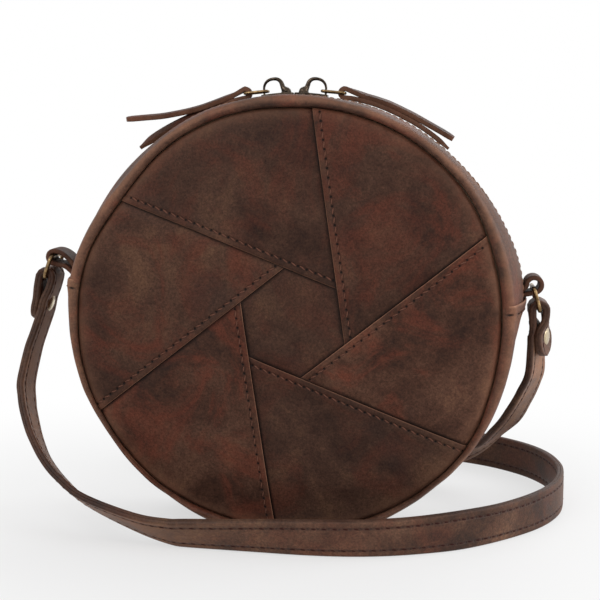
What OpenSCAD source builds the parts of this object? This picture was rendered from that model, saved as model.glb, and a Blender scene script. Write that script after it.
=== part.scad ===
// Round shoulder bag that stands on its lower edge: six lapped blades round a hexagon make its front,
// a curved zip with two sliders runs over its top, and a flat strap hangs from a ring at each side.

/* [Bag body] */
// widest diameter, over the zip and the lower gusset
bag_diameter = 205; // [190:1:225]
// width of the gusset between the two panel seams
gusset_width = 60; // [54:1:75]
// height that the soft body loses where it stands
base_sag = 2.4; // [1.6:0.1:3]
// step from the panel seam up to the widest part of the gusset
shoulder_rise = 7; // [5:0.5:9]
// how far each panel bulges beyond its seam
panel_bulge = 5; // [3:0.5:7]
// thickness of the leather
leather = 1.8; // [1.4:0.1:2.2]
// thickness of the lining
lining = 0.8; // [0.5:0.1:1]

/* [Pinwheel front] */
// number of blades
blade_count = 6; // [6:1:6]
// circumradius of the centre hexagon
hexagon_radius = 25.2; // [20:0.2:32]
// how far the hexagon's centre lies right of the bag's centre
hexagon_right = 2.6; // [-3:0.1:3]
// how far the hexagon's centre lies below the bag's centre
hexagon_drop = -0.2; // [-4:0.1:4]
// angle of the hexagon's first corner from the right-hand side
hexagon_turn = 98.1; // [85:0.1:110]
// width of the hidden margin under each lap
lap_width = 6; // [4:0.5:8]
// thickness of the hidden margin, which is pared down
lap_thickness = 0.8; // [0.5:0.1:1]
// width of the raised edge of each blade
raised_edge = 5; // [3:0.5:7]
// height of the raised edge over the blade
raised_height = 0.6; // [0.3:0.1:1]

/* [Zip] */
// width of the slot between the zip bands
zip_slot = 15; // [14:0.5:17]
// angle from the top down to the left end of the zip
zip_end_left = 79.5; // [78:1:88]
// angle from the top down to the right end of the zip
zip_end_right = 85; // [80:1:92]
// distance between the teeth of one row
tooth_pitch = 2.3; // [2.2:0.05:2.6]
// height of a tooth
tooth_height = 2.8; // [2.4:0.1:3]
// thickness of the head of a tooth along the zip
tooth_thickness = 0.95; // [0.8:0.05:1]
// thickness of the zip tape
tape_thickness = 0.6; // [0.4:0.1:0.8]

/* [Sliders and pulls] */
// length of a slider
slider_length = 15; // [14:0.5:17]
// thickness of each slider plate
slider_plate = 1.1; // [0.9:0.1:1.3]
// thickness of the crown's wire
crown_wire = 1.6; // [1.3:0.1:1.8]
// radius of the crown's arch at the middle of its wire
crown_radius = 5.2; // [4.8:0.1:5.6]
// thickness of the pull link's wire
link_wire = 1.4; // [1.2:0.1:1.6]
// length of the pull link between its two end bars
link_length = 10.5; // [10:0.5:12]
// width of the pull thong
thong_width = 4.6; // [4:0.1:4.8]
// thickness of the pull thong
thong_thickness = 2.2; // [1.6:0.1:2.4]
// angle that each thong spans along the zip
thong_span = 31; // [24:1:32]

/* [Rings, tabs and strap] */
// width of the strap
strap_width = 18; // [15:0.5:19]
// thickness of one ply of the strap
strap_ply = 1.7; // [1.3:0.1:1.8]
// thickness of a strap ring's wire
ring_wire = 1.9; // [1.6:0.1:2.2]
// distance between a ring's upper and lower bar
ring_drop = 10.5; // [10:0.5:13]
// width of a ring tab
tab_width = 14; // [12:0.5:14]
// thickness of the leather of a ring tab
tab_leather = 1.8; // [1.4:0.1:2]
// how far the left ring's upper bar stands out from the bag
ring_reach_left = 15.4; // [12:0.2:18]
// how far the right ring's upper bar stands out from the bag
ring_reach_right = 9; // [8:0.2:16]
// length of the strap's turned-back end below the ring
fold_back = 22; // [20:1:26]
// diameter of a rivet's cap
rivet_cap = 10; // [8:0.5:11]

/* [Fit] */
// running clearance between metal parts
metal_gap = 0.25; // [0.2:0.05:0.3]
// clearance between leather and what moves in it
leather_gap = 0.45; // [0.35:0.05:0.6]
// gap between pieces that are sewn side by side
seam_gap = 0.3; // [0.15:0.05:0.4]

/* [Hidden] */

leather_brown = [0.27, 0.16, 0.11];
dark_brown = [0.2, 0.12, 0.085];
lining_brown = [0.33, 0.27, 0.22];
tape_brown = [0.16, 0.1, 0.07];
antique_brass = [0.48, 0.37, 0.2];

bag_r = bag_diameter / 2;
half_gusset = gusset_width / 2;
panel_r = bag_r - shoulder_rise;
centre_z = bag_r - base_sag;
reach = bag_r + bag_diameter;
right_end = 90 - zip_end_right;
left_end = 90 + zip_end_left;
// Angle by which a cutting arc runs past the arc it cuts.
arc_past = 1;

// Outer curve of the gusset from the panel seam to the flat under the zip: place across the half width,
// height up the shoulder, and the direction from the outer face to the inner face.
gusset_shares = [
    [1, 0.04, 0.94, 0], [1.05, 0.3, 1, -0.2], [1.053, 0.55, 0.97, 0.14], [1.02, 0.76, 0.72, 0.67],
    [0.94, 0.88, 0.22, 0.98], [0.8, 0.95, 0.06, 1], [0.62, 0.985, 0.05, 1], [0.48, 1, 0, 1]
];
// Panel from its middle to its seam: place along the radius, height of the bulge.
panel_shares = [
    [0, 1], [0.3, 0.975], [0.55, 0.89], [0.75, 0.73], [0.88, 0.5], [0.95, 0.27], [0.985, 0.1], [1, 0]
];

function reversed(list) = [for (i = [len(list) - 1:-1:0]) list[i]];
function unit(v) = v / norm(v);
function mix(a, b, t) = a + (b - a) * t;
function polar(angle, r) = [r * sin(angle), r * cos(angle)];
function arc_angle(length, r) = length / r * 180 / PI;

// Frame round the bag's axis: x to the right, y up, z to the front.
module about_axis() translate([0, 0, centre_z]) rotate([90, 0, 0]) children();

module arc(from, to) rotate([0, 0, from]) rotate_extrude(angle = to - from, $fn = 240) children();

module above(z) translate([-reach, -reach, z]) cube([2 * reach, 2 * reach, reach]);

function gusset_outer() = [for (g = gusset_shares)
    [panel_r + g[1] * shoulder_rise, g[0] * half_gusset]];
function gusset_inner() = [for (g = gusset_shares)
    [panel_r + g[1] * shoulder_rise - g[3] * leather, g[0] * half_gusset - g[2] * leather]];
function flipped(list) = [for (p = list) [p[0], -p[1]]];

// PANELS

// One layer of a bulging panel, from height low to height high over the panel's inner face.
module panel_layer(low, high, r = panel_r) {
    inner = [for (p = panel_shares) [p[0] * r, half_gusset - leather + p[1] * panel_bulge + low]];
    outer = [for (p = panel_shares) [p[0] * r, half_gusset - leather + p[1] * panel_bulge + high]];
    rotate_extrude($fn = 240) polygon(concat(inner, reversed(outer)));
}

hexagon_centre = [hexagon_right, -hexagon_drop];
blade_angle = 360 / blade_count;
function corner(k, r = hexagon_radius) =
    hexagon_centre + r * [cos(hexagon_turn - blade_angle * k), sin(hexagon_turn - blade_angle * k)];
// Direction of lap line k, from the hexagon out to the rim, and the direction to its right.
function along(k) = unit(corner(k) - corner(k + 1));
function across(k) = [along(k)[1], -along(k)[0]];

// The wedge of the front that blade k covers.
module wedge(k, gap) {
    tip = corner(k + 1) + along(k) * gap / sin(blade_angle);
    polygon([tip, tip + along(k) * reach, tip + (along(k) + along(k + 1)) * reach, tip + along(k + 1) * reach]);
}

// The strip along blade k's own edge, which lies over its neighbour. It runs past the blade's outline.
module edge_strip(k) {
    tip = corner(k + 1) - along(k) * lap_width - across(k) * lap_width;
    inner = tip + across(k) * (lap_width + raised_edge);
    polygon([tip, tip + along(k) * reach, inner + along(k) * reach, inner]);
}

// The margin that blade k keeps under blade k + 1. It starts where it clears the hexagon's margin.
module blade_margin(k) {
    foot = corner(k + 1) + along(k + 1) * (lap_width + 2 * seam_gap) / sin(blade_angle);
    near = foot - across(k + 1) * (lap_thickness + seam_gap);
    far = foot + across(k + 1) * lap_width;
    polygon([near, near + along(k + 1) * reach, far + along(k + 1) * reach, far]);
}

// The margin that the hexagon keeps under blade k.
module hexagon_margin(k) {
    first = corner(k);
    last = corner(k + 1);
    inward = across(k) * (lap_thickness + seam_gap);
    polygon([
        first - inward, last - inward, last + along(k + 1) * lap_width / sin(blade_angle),
        first + across(k) * lap_width
    ]);
}

// The rebate under blade k, which takes the margins of the hexagon and of blade k - 1.
module rebate(k) {
    start = corner(k + 1) - along(k) * lap_width - across(k) * seam_gap;
    side = across(k) * (lap_width + 2 * seam_gap);
    polygon([start, start + along(k) * reach, start + along(k) * reach + side, start + side]);
}

module prism() linear_extrude(gusset_width) children();

module front_blade(k) {
    about_axis() {
        difference() {
            intersection() {
                prism() wedge(k, seam_gap);
                union() {
                    panel_layer(0, leather);
                    intersection() {
                        panel_layer(leather / 2, leather + raised_height, panel_r - raised_height);
                        prism() edge_strip(k);
                    }
                }
            }
            intersection() {
                panel_layer(-leather, lap_thickness + seam_gap / 2, panel_r + seam_gap);
                prism() rebate(k);
            }
        }
        intersection() {
            panel_layer(ply_gap, lap_thickness, panel_r - raised_height);
            prism() blade_margin(k);
        }
    }
}

module front_hexagon() {
    color(leather_brown) about_axis() union() {
        intersection() {
            panel_layer(0, leather);
            prism() polygon([for (k = [0:blade_count - 1])
                corner(k, hexagon_radius - seam_gap / cos(blade_angle / 2))]);
        }
        intersection() {
            panel_layer(ply_gap, lap_thickness);
            prism() for (k = [0:blade_count - 1]) hexagon_margin(k);
        }
    }
}

module front_blade_1() color(leather_brown) front_blade(0);
module front_blade_2() color(leather_brown) front_blade(1);
module front_blade_3() color(leather_brown) front_blade(2);
module front_blade_4() color(leather_brown) front_blade(3);
module front_blade_5() color(leather_brown) front_blade(4);
module front_blade_6() color(leather_brown) front_blade(5);

lining_r = panel_r - seam_gap;
module panel_lining() panel_layer(-seam_gap - lining, -seam_gap, lining_r);

module front_lining() color(lining_brown) about_axis() panel_lining();
module back_panel() color(leather_brown) about_axis() mirror([0, 0, 1]) panel_layer(0, leather);
module back_lining() color(lining_brown) about_axis() mirror([0, 0, 1]) panel_lining();

// GUSSET AND ZIP BANDS

// A strip round the lower part whose bottom is pressed flat at height floor_z.
module flattened(outer, inner, from, to, past, floor_z, wall) {
    hole_r = min([for (p = inner) p[0]]);
    wide = max([for (p = outer) p[1]]) + wall;
    about = concat(outer, reversed(flipped(outer)));
    hollow = concat([[hole_r, wide]], inner, reversed(flipped(inner)), [[hole_r, -wide]]);
    difference() {
        intersection() {
            about_axis() arc(from, to) polygon(concat([[0, about[0][1]]], about, [[0, -about[0][1]]]));
            above(floor_z);
        }
        intersection() {
            about_axis() arc(from - past, to + past) polygon(concat([[0, wide]], hollow, [[0, -wide]]));
            above(floor_z + wall);
        }
    }
}

module gusset_bottom() {
    color(leather_brown)
        flattened(gusset_outer(), gusset_inner(), left_end, right_end + 360, arc_past, 0, leather);
}

// The lining lies just inside the gusset, with its edges turned in to meet the panel linings.
lining_edge_share = 0.893;
lining_flat_share = 0.733;
lining_gap = 0.45;
lining_out_r = bag_r - leather - lining_gap;
lining_points = [[panel_r, lining_edge_share * half_gusset], [lining_out_r, lining_flat_share * half_gusset]];
function thinner(list) = [for (p = list) [p[0] - lining, p[1]]];

module gusset_lining() {
    start = zip_slot / 2 + tape_seam + seam_gap;
    color(lining_brown) difference() {
        flattened(lining_points, thinner(lining_points), 0, 360, 0, leather + seam_gap, lining);
        about_axis() arc(right_end, left_end)
            translate([panel_r, -start]) square([bag_r - panel_r, 2 * start]);
    }
}

module zip_band() {
    slot = zip_slot / 2;
    arc(right_end + seam_angle, left_end - seam_angle) polygon(concat(
        gusset_outer(), [[bag_r, slot], [bag_r - leather, slot]], reversed(gusset_inner())
    ));
}
seam_angle = arc_angle(seam_gap, bag_r);

module zip_band_front() color(leather_brown) about_axis() zip_band();
module zip_band_back() color(leather_brown) about_axis() mirror([0, 0, 1]) zip_band();

// ZIP

// Each tape lies under its band and ends near the middle, where its teeth grip it.
tape_seam = 6;
tape_edge = 1.6;
tape_out_r = bag_r - leather - seam_gap / 2;
tape_mid_r = tape_out_r - tape_thickness / 2;
tooth_low_r = tape_mid_r - tooth_height / 2;
tooth_top_r = tape_mid_r + tooth_height / 2;
tooth_nose = 0.7;
tooth_back = 2.7;
tooth_neck = 0.9;
tooth_root_share = 1.6;
tooth_tip_share = 0.6;
// The tape and teeth stop short of the ring tabs.
zip_stop = 4;

module zip_tape() {
    arc(right_end + zip_stop, left_end - zip_stop)
        translate([tape_out_r - tape_thickness, tape_edge])
            square([tape_thickness, zip_slot / 2 + tape_seam - tape_edge]);
}
module zip_tape_front() color(tape_brown) about_axis() zip_tape();
module zip_tape_back() color(tape_brown) about_axis() mirror([0, 0, 1]) zip_tape();

// The two rows part round the dividers of the sliders.
split = 1.7;
split_full = 4.6;
split_none = 11.5;
function eased(t) = t <= 0 ? 0 : t >= 1 ? 1 : t * t * (3 - 2 * t);
function row_split(s) = split * (1 - eased((abs(s) - split_full) / (split_none - split_full)));

module tooth() {
    head = tooth_thickness / 2;
    root = head * tooth_root_share;
    tip = head * tooth_tip_share;
    rotate([-90, 0, 0]) linear_extrude(tooth_height) polygon([
        [-tip, tooth_nose], [tip, tooth_nose], [head, 0], [head, -tooth_neck],
        [root, -tooth_back], [-root, -tooth_back], [-head, -tooth_neck], [-head, 0]
    ]);
}

module tooth_row(start) {
    pitch_angle = arc_angle(tooth_pitch, tape_mid_r);
    first = -zip_end_left + zip_stop + pitch_angle * (1 + start);
    last = zip_end_right - zip_stop - pitch_angle;
    for (a = [first:pitch_angle:last])
        rotate([0, 0, -a])
            translate([0, tooth_low_r, row_split(a * PI / 180 * tape_mid_r)])
                tooth();
}
module zip_teeth_front() color(antique_brass) about_axis() tooth_row(0);
module zip_teeth_back() color(antique_brass) about_axis() mirror([0, 0, 1]) tooth_row(0.5);

// SLIDERS

slider_gap = 0.4;
slider_mid = arc_angle(slider_gap + slider_length / 2, bag_r);
plate_low_r = tooth_top_r + metal_gap;
plate_top_r = plate_low_r + slider_plate;
under_top_r = tooth_low_r - metal_gap;
under_low_r = under_top_r - slider_plate;
// Room beside the teeth at the slider's wide nose and at its narrow tail.
nose_gap = 0.5;
tail_gap = 0.4;
nose_inner = tooth_back + split + nose_gap;
tail_inner = tooth_back + tail_gap;
flange = 1;
nose_end_share = 0.41;
waist_share = 0.76;
chamfer = 0.8;
crown_post = 2.2;
crown_place = 1.2;
divider_half = 0.7;
divider_start = 1.2;
divider_length = 5.4;
divider_square = 3;

function slider_plan(grow, cut) = [
    [-slider_length / 2, nose_inner + grow - cut], [-slider_length / 2 + cut, nose_inner + grow],
    [(nose_end_share - 0.5) * slider_length, nose_inner + grow],
    [(waist_share - 0.5) * slider_length, tail_inner + grow],
    [slider_length / 2 - cut, tail_inner + grow], [slider_length / 2, tail_inner + grow - cut]
];
module slider_outline(grow, cut) {
    side = slider_plan(grow, cut);
    polygon(concat(side, reversed([for (p = side) [p[0], -p[1]]])));
}
module radial_prism(low, high) rotate([-90, 0, 0]) translate([0, 0, low]) linear_extrude(high - low) children();
module shell_ring(low, high) {
    rotate_extrude($fn = 240) translate([low, -half_gusset]) square([high - low, gusset_width]);
}

// A slider that leads to the right, in the frame round the bag's axis with the slider at the top.
module slider() {
    tape_low = tape_out_r - tape_thickness - metal_gap;
    tape_high = tape_out_r + metal_gap;
    difference() {
        intersection() {
            shell_ring(under_low_r, plate_top_r);
            radial_prism(under_low_r - slider_plate, plate_top_r + slider_plate)
                slider_outline(flange, chamfer);
        }
        intersection() {
            shell_ring(under_top_r, plate_low_r);
            radial_prism(under_low_r - slider_plate, plate_top_r + slider_plate) difference() {
                tooth_channel();
                translate([-slider_length / 2 + divider_start, 0]) polygon([
                    [0, divider_half], [divider_square, divider_half], [divider_length, 0],
                    [divider_square, -divider_half], [0, -divider_half]
                ]);
            }
        }
        intersection() {
            shell_ring(tape_low, tape_high);
            radial_prism(under_top_r, plate_low_r) tape_slots();
        }
    }
    translate([crown_place, plate_top_r + crown_post, 0])
        rotate_extrude(angle = 180, $fn = 48) translate([crown_radius, 0]) circle(crown_wire / 2, $fn = 24);
    for (side = [-1, 1])
        translate([crown_place + side * crown_radius, plate_top_r - slider_plate / 2, 0]) rotate([-90, 0, 0])
            cylinder(r = crown_wire / 2, h = crown_post + slider_plate / 2, $fn = 24);
}
// The channel for the teeth runs out of both ends of the slider.
module tooth_channel() {
    side = slider_plan(0, 0);
    first = side[0];
    last = side[len(side) - 1];
    longer = concat([[first[0] - flange, first[1]]], side, [[last[0] + flange, last[1]]]);
    polygon(concat(longer, reversed([for (p = longer) [p[0], -p[1]]])));
}
// The tapes leave through a slot in each side.
module tape_slots() {
    for (side = [0, 1]) mirror([0, side]) translate([-slider_length, tape_edge])
        square([2 * slider_length, half_gusset]);
}

module on_left() mirror([1, 0, 0]) children();
module at_slider() rotate([0, 0, -slider_mid]) children();
module slider_left() color(antique_brass) about_axis() on_left() at_slider() slider();
module slider_right() color(antique_brass) about_axis() at_slider() slider();

// PULLS

// A closed wire loop in the xy plane from x = 0 to x = length, bars at both ends along y.
// Its bends are a hair thicker than its bars, whose ends reach into them, so that they always join.
bend_swell = 0.02;
bar_in = 0.1;
module loop_bar(wire, run) translate([0, 0, -bar_in]) cylinder(r = wire / 2, h = run + 2 * bar_in, $fn = 24);
module wire_loop(length, half, bend, wire) {
    for (end = [0, 1]) translate([end * length, half - bend, 0]) rotate([90, 0, 0])
        loop_bar(wire, 2 * (half - bend));
    for (side = [-1, 1]) {
        translate([bend, side * half, 0]) rotate([0, 90, 0]) loop_bar(wire, length - 2 * bend);
        for (end = [0, 1])
            translate([end ? length - bend : bend, side * (half - bend), 0])
                rotate([0, 0, side > 0 ? (end ? 0 : 90) : (end ? 270 : 180)])
                    rotate_extrude(angle = 90, $fn = 48)
                        translate([bend, 0]) circle(wire / 2 + bend_swell, $fn = 24);
    }
}

link_half = thong_width / 2 + metal_gap + link_wire / 2;
link_bend = 1.1;
// The link's inner bar lies beside the outer foot of the crown, just over the slider's plate.
crown_foot_gap = 0.125;
link_lift = 0.75;
link_in_x = slider_gap + slider_length / 2 + crown_place + crown_radius
    - crown_wire / 2 - link_wire / 2 - crown_foot_gap;
link_in_r = plate_top_r + link_wire / 2 + link_lift;
link_in_angle = arc_angle(link_in_x, bag_r + slider_plate);
link_out_r = tooth_top_r + leather_gap + thong_thickness + metal_gap + link_wire / 2;
link_out_angle = link_in_angle + arc_angle(link_length, link_out_r);
link_in = polar(link_in_angle, link_in_r);
link_way = unit(polar(link_out_angle, link_out_r) - link_in);
link_out = link_in + link_way * link_length;

module link() {
    translate([link_in[0], link_in[1], 0]) rotate([0, 0, atan2(link_way[1], link_way[0])])
        rotate([90, 0, 0]) wire_loop(link_length, link_half, link_bend, link_wire);
}
module link_left() color(antique_brass) about_axis() on_left() link();
module link_right() color(antique_brass) about_axis() link();

// A strip that follows a path in the xy plane, with its thickness to both sides of the path.
function path_normal(path, i) =
    let (a = path[max(i - 1, 0)], b = path[min(i + 1, len(path) - 1)], d = unit(b - a)) [-d[1], d[0]];
function strip_outline(path, thickness) = concat(
    [for (i = [0:len(path) - 1]) path[i] + path_normal(path, i) * thickness / 2],
    [for (i = [len(path) - 1:-1:0]) path[i] - path_normal(path, i) * thickness / 2]
);

// Each tail bends from the fold past one place to its tip. A place is given as a share of the span
// and as a height over the bag, as a share of the bag's radius.
thong_steps = 10;
fold_steps = 8;
upper_left_shares = [[0.52, 0.094], [0.93, 0.2]];
lower_left_shares = [[0.49, 0.048], [1, 0.053]];
upper_right_shares = [[0.36, 0.089], [0.985, 0.082]];
lower_right_shares = [[0.48, 0.055], [0.985, 0.03]];

function tail_place(shares) = polar(link_out_angle + shares[0] * thong_span, bag_r * (1 + shares[1]));
function tail(start, shares) =
    let (control = tail_place(shares[0]), tip = tail_place(shares[1]))
    [for (i = [1:thong_steps]) let (t = i / thong_steps)
        start * (1 - t) * (1 - t) + control * 2 * t * (1 - t) + tip * t * t];

fold_r = link_wire / 2 + metal_gap + thong_thickness / 2;
function thong_path(upper, lower) =
    let (
        back = -link_way,
        up = [-link_way[1], link_way[0]],
        fold = [for (i = [0:fold_steps]) let (a = 180 * i / fold_steps)
            link_out + (back * sin(a) + up * cos(a)) * fold_r]
    )
    concat(reversed(tail(fold[0], upper)), fold, tail(fold[fold_steps], lower));

module thong(upper, lower) {
    translate([0, 0, -thong_width / 2]) linear_extrude(thong_width)
        polygon(strip_outline(thong_path(upper, lower), thong_thickness));
}
module thong_left() color(dark_brown) about_axis() on_left() thong(upper_left_shares, lower_left_shares);
module thong_right() color(dark_brown) about_axis() thong(upper_right_shares, lower_right_shares);

// RINGS AND TABS

// Each ring hangs in its tab by its upper bar; its lower bar carries the strap.
ring_angle_left = 77.1;
ring_angle_right = 82.9;
ring_tilt_left = 20;
ring_tilt_right = 16;
ring_bend = 2;
ring_half = strap_width / 2 + leather_gap + ring_wire / 2;
bar_left = polar(ring_angle_left, bag_r + ring_reach_left);
bar_right = polar(ring_angle_right, bag_r + ring_reach_right);
function hang(tilt) = [sin(tilt), -cos(tilt)];
low_left = bar_left + hang(ring_tilt_left) * ring_drop;
low_right = bar_right + hang(ring_tilt_right) * ring_drop;

module strap_ring(bar, tilt) {
    translate([bar[0], bar[1], 0]) rotate([0, 0, tilt - 90]) rotate([90, 0, 0])
        wire_loop(ring_drop, ring_half, ring_bend, ring_wire);
}
module ring_left() color(antique_brass) about_axis() on_left() strap_ring(bar_left, ring_tilt_left);
module ring_right() color(antique_brass) about_axis() strap_ring(bar_right, ring_tilt_right);

// A folded tab: two layers at the seam that open into a loop round the ring's bar.
tab_root = 3.5;
// Depth of the sewn part, where the two layers lie together.
tab_sewn = 7;
tab_in_r = ring_wire / 2 + leather_gap;
module ring_tab(bar, end_angle) {
    root_angle = end_angle - arc_angle(tab_leather + seam_gap, bag_r);
    root = polar(root_angle, bag_r - tab_root);
    length = norm(bar - root);
    heading = atan2(bar[1] - root[1], bar[0] - root[0]);
    out_r = tab_in_r + tab_leather;
    translate([root[0], root[1], -tab_width / 2]) rotate([0, 0, heading]) linear_extrude(tab_width) difference() {
        union() {
            polygon([[0, -tab_leather], [length, -out_r], [length, out_r], [0, tab_leather]]);
            translate([length, 0]) circle(out_r, $fn = 48);
        }
        polygon([[tab_sewn, 0], [length, -tab_in_r], [length, tab_in_r]]);
        translate([length, 0]) circle(tab_in_r, $fn = 48);
    }
}
module ring_tab_left() color(dark_brown) about_axis() on_left() ring_tab(bar_left, zip_end_left);
module ring_tab_right() color(dark_brown) about_axis() ring_tab(bar_right, zip_end_right);

// STRAP

// Route of the strap's middle line from the left ring to the right ring, as shares of the bag's radius:
// right, back, up, and the angle of the strap's width from upright towards the back.
strap_route_shares = [
    [-1.206, -0.028, 0.88, 90], [-1.228, -0.062, 0.791, 90], [-1.241, -0.127, 0.661, 90],
    [-1.225, -0.18, 0.578, 90], [-1.192, -0.239, 0.497, 90], [-1.148, -0.298, 0.419, 90],
    [-1.089, -0.351, 0.341, 90], [-1.002, -0.405, 0.265, 90], [-0.876, -0.454, 0.189, 88],
    [-0.631, -0.505, 0.108, 82], [-0.45, -0.53, 0.078, 72], [-0.271, -0.545, 0.062, 63],
    [-0.09, -0.555, 0.06, 54], [0.084, -0.562, 0.055, 47], [0.254, -0.559, 0.045, 44],
    [0.42, -0.535, 0.03, 42], [0.59, -0.48, 0.015, 38], [0.768, -0.387, 0.005, 30],
    [0.948, -0.247, 0, 19], [1.118, -0.045, 0, 10], [1.222, 0.17, 0, 4], [1.262, 0.4, 0, 0],
    [1.245, 0.61, 0, 0], [1.185, 0.79, 0, 0], [1.075, 0.95, 0, 0], [0.9, 1.1, 0, 0], [0.63, 1.225, 0, 0],
    [0.25, 1.3, 0, 0], [-0.13, 1.31, 0, 0], [-0.45, 1.26, 0, 0], [-0.66, 1.14, 0, 0], [-0.68, 0.97, 0, 0],
    [-0.48, 0.84, 0.03, 0], [-0.12, 0.78, 0.06, 0], [0.2, 0.74, 0.086, 6], [0.49, 0.69, 0.115, 16],
    [0.705, 0.61, 0.175, 28], [0.88, 0.488, 0.268, 42], [0.985, 0.322, 0.4, 56],
    [1.041, 0.205, 0.522, 68], [1.079, 0.117, 0.63, 78], [1.099, 0.055, 0.722, 86]
];
ply_gap = 0.1;
stack = strap_ply + ply_gap / 2;
strap_wrap = ring_wire / 2 + leather_gap + stack;
fold_half = stack + ply_gap / 2;
fold_meet_share = 0.5;
fold_bow_share = 0.25;
// The strand runs straight to here, so that it passes the rivet's cap before it bends away.
straight_share = 0.8;
tip_steps = 5;
route_steps = 3;

// A folded strap end seen from the front, from the free end round the ring's lower bar:
// place down the strand and place outwards from its middle.
function fold_places() = concat(
    [for (i = [0:tip_steps]) [fold_back - strap_width / 2 * (1 - cos(90 * i / tip_steps)), fold_half]],
    [[fold_back * fold_meet_share, fold_half],
     [fold_back * fold_bow_share, mix(fold_half, strap_wrap, 1 - fold_bow_share)]],
    [for (i = [0:fold_steps]) let (a = 180 * i / fold_steps) [-strap_wrap * sin(a), strap_wrap * cos(a)]],
    [[fold_back * fold_bow_share, -mix(fold_half, strap_wrap, 1 - fold_bow_share)],
     [fold_back * fold_meet_share, -fold_half], [fold_back * straight_share, -fold_half]]
);
function to_place(p) = [p[0], 0, centre_z + p[1]];
// side is -1 on the left and 1 on the right; low is the ring's lower bar, lean the strand's tilt.
function fold_points(side, low, lean) = [for (q = fold_places())
    let (d = [side * sin(lean), -cos(lean)], n = [side * cos(lean), sin(lean)])
    concat(to_place([side * low[0], low[1]] + d * q[0] + n * q[1]), [90])];

strand_lean_left = 14;
strand_lean_right = 3;
function spline(p, i, t) =
    let (a = p[max(i - 1, 0)], b = p[i], c = p[i + 1], d = p[min(i + 2, len(p) - 1)])
    0.5 * (2 * b + (c - a) * t + (2 * a - 5 * b + 4 * c - d) * t * t + (3 * b - a - 3 * c + d) * t * t * t);

route = [for (q = strap_route_shares) [q[0] * bag_r, q[1] * bag_r, q[2] * bag_r, q[3]]];
fold_l = fold_points(-1, low_left, strand_lean_left);
fold_r_end = fold_points(1, low_right, strand_lean_right);
last_l = fold_l[len(fold_l) - 1];
last_r = fold_r_end[len(fold_r_end) - 1];
strand = concat([last_l], route, [last_r]);
middle = [for (i = [0:len(strand) - 2], j = [0:route_steps - 1]) if (i + j > 0) spline(strand, i, j / route_steps)];
line = concat(fold_l, middle, reversed(fold_r_end));
count = len(line);

function place(i) = [line[i][0], line[i][1], line[i][2]];
function heading_at(i) = unit(place(min(i + 1, count - 1)) - place(max(i - 1, 0)));
function width_at(i) =
    let (t = heading_at(i), w = [0, sin(line[i][3]), cos(line[i][3])])
    unit(w - (w * t) * t);
function face_at(i) = cross(heading_at(i), width_at(i));
// The strap never sinks below the surface it lies on.
function laid(i) =
    let (p = place(i), need = strap_width / 2 * abs(width_at(i)[2]) + stack * abs(face_at(i)[2]))
    [p[0], p[1], max(p[2], need)];
// The free ends are rounded over the first and last steps.
function rounding(i) =
    let (k = min(i, count - 1 - i))
    k >= tip_steps ? 1 : max(sin(acos(cos(90 * k / tip_steps))), ply_gap);

module ply(from, to) {
    rings = [for (i = [0:count - 1])
        let (c = laid(i), w = width_at(i) * strap_width / 2 * rounding(i), n = face_at(i))
        [c + w + n * to, c + w + n * from, c - w + n * from, c - w + n * to]];
    points = [for (ring = rings) for (p = ring) p];
    // Both broad faces are split along the same diagonal, so the plies stay parallel where they twist.
    sides = [for (i = [0:count - 2], j = [0:3])
        let (a = 4 * i + j, b = 4 * i + (j + 1) % 4)
        for (f = j < 3 ? [[a, b, b + 4], [a, b + 4, a + 4]] : [[a, b, a + 4], [b, b + 4, a + 4]]) f];
    top = 4 * (count - 1);
    polyhedron(points, concat(sides, [[2, 1, 0], [3, 2, 0], [top, top + 1, top + 2], [top, top + 2, top + 3]]));
}
module strap_outer() color(leather_brown) ply(ply_gap / 2, stack);
module strap_inner() color(dark_brown) ply(-stack, -ply_gap / 2);

// RIVETS

// Each rivet holds the turned-back end to the strand, halfway down the fold.
rivet_place_share = 0.57;
rivet_post = 2.4;
cap_height = 1.2;
cap_edge = 0.5;
cap_top_share = 0.5;
module rivet(low, lean) {
    thick = 2 * (fold_half + stack);
    top = rivet_cap / 2 * cap_top_share;
    translate([low[0], low[1], 0]) rotate([0, 0, lean]) translate([0, -fold_back * rivet_place_share, 0])
        rotate([0, 90, 0]) rotate_extrude($fn = 48) polygon([
            [0, -thick / 2 - cap_height], [top, -thick / 2 - cap_height],
            [rivet_cap / 2, -thick / 2 - cap_edge], [rivet_cap / 2, -thick / 2 - ply_gap],
            [rivet_post / 2, -thick / 2 - ply_gap], [rivet_post / 2, thick / 2 + ply_gap],
            [rivet_cap / 2, thick / 2 + ply_gap], [rivet_cap / 2, thick / 2 + cap_edge],
            [top, thick / 2 + cap_height], [0, thick / 2 + cap_height]
        ]);
}
module rivet_left() color(antique_brass) about_axis() on_left() rivet(low_left, strand_lean_left);
module rivet_right() color(antique_brass) about_axis() rivet(low_right, strand_lean_right);

front_hexagon();
front_blade_1();
front_blade_2();
front_blade_3();
front_blade_4();
front_blade_5();
front_blade_6();
front_lining();
back_panel();
back_lining();
gusset_bottom();
gusset_lining();
zip_band_front();
zip_band_back();
zip_tape_front();
zip_tape_back();
zip_teeth_front();
zip_teeth_back();
ring_tab_left();
ring_tab_right();
ring_left();
ring_right();
slider_left();
slider_right();
link_left();
link_right();
thong_left();
thong_right();
strap_outer();
strap_inner();
rivet_left();
rivet_right();
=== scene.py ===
import math

import bmesh
import bpy
import numpy as np
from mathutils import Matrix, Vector, noise


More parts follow.
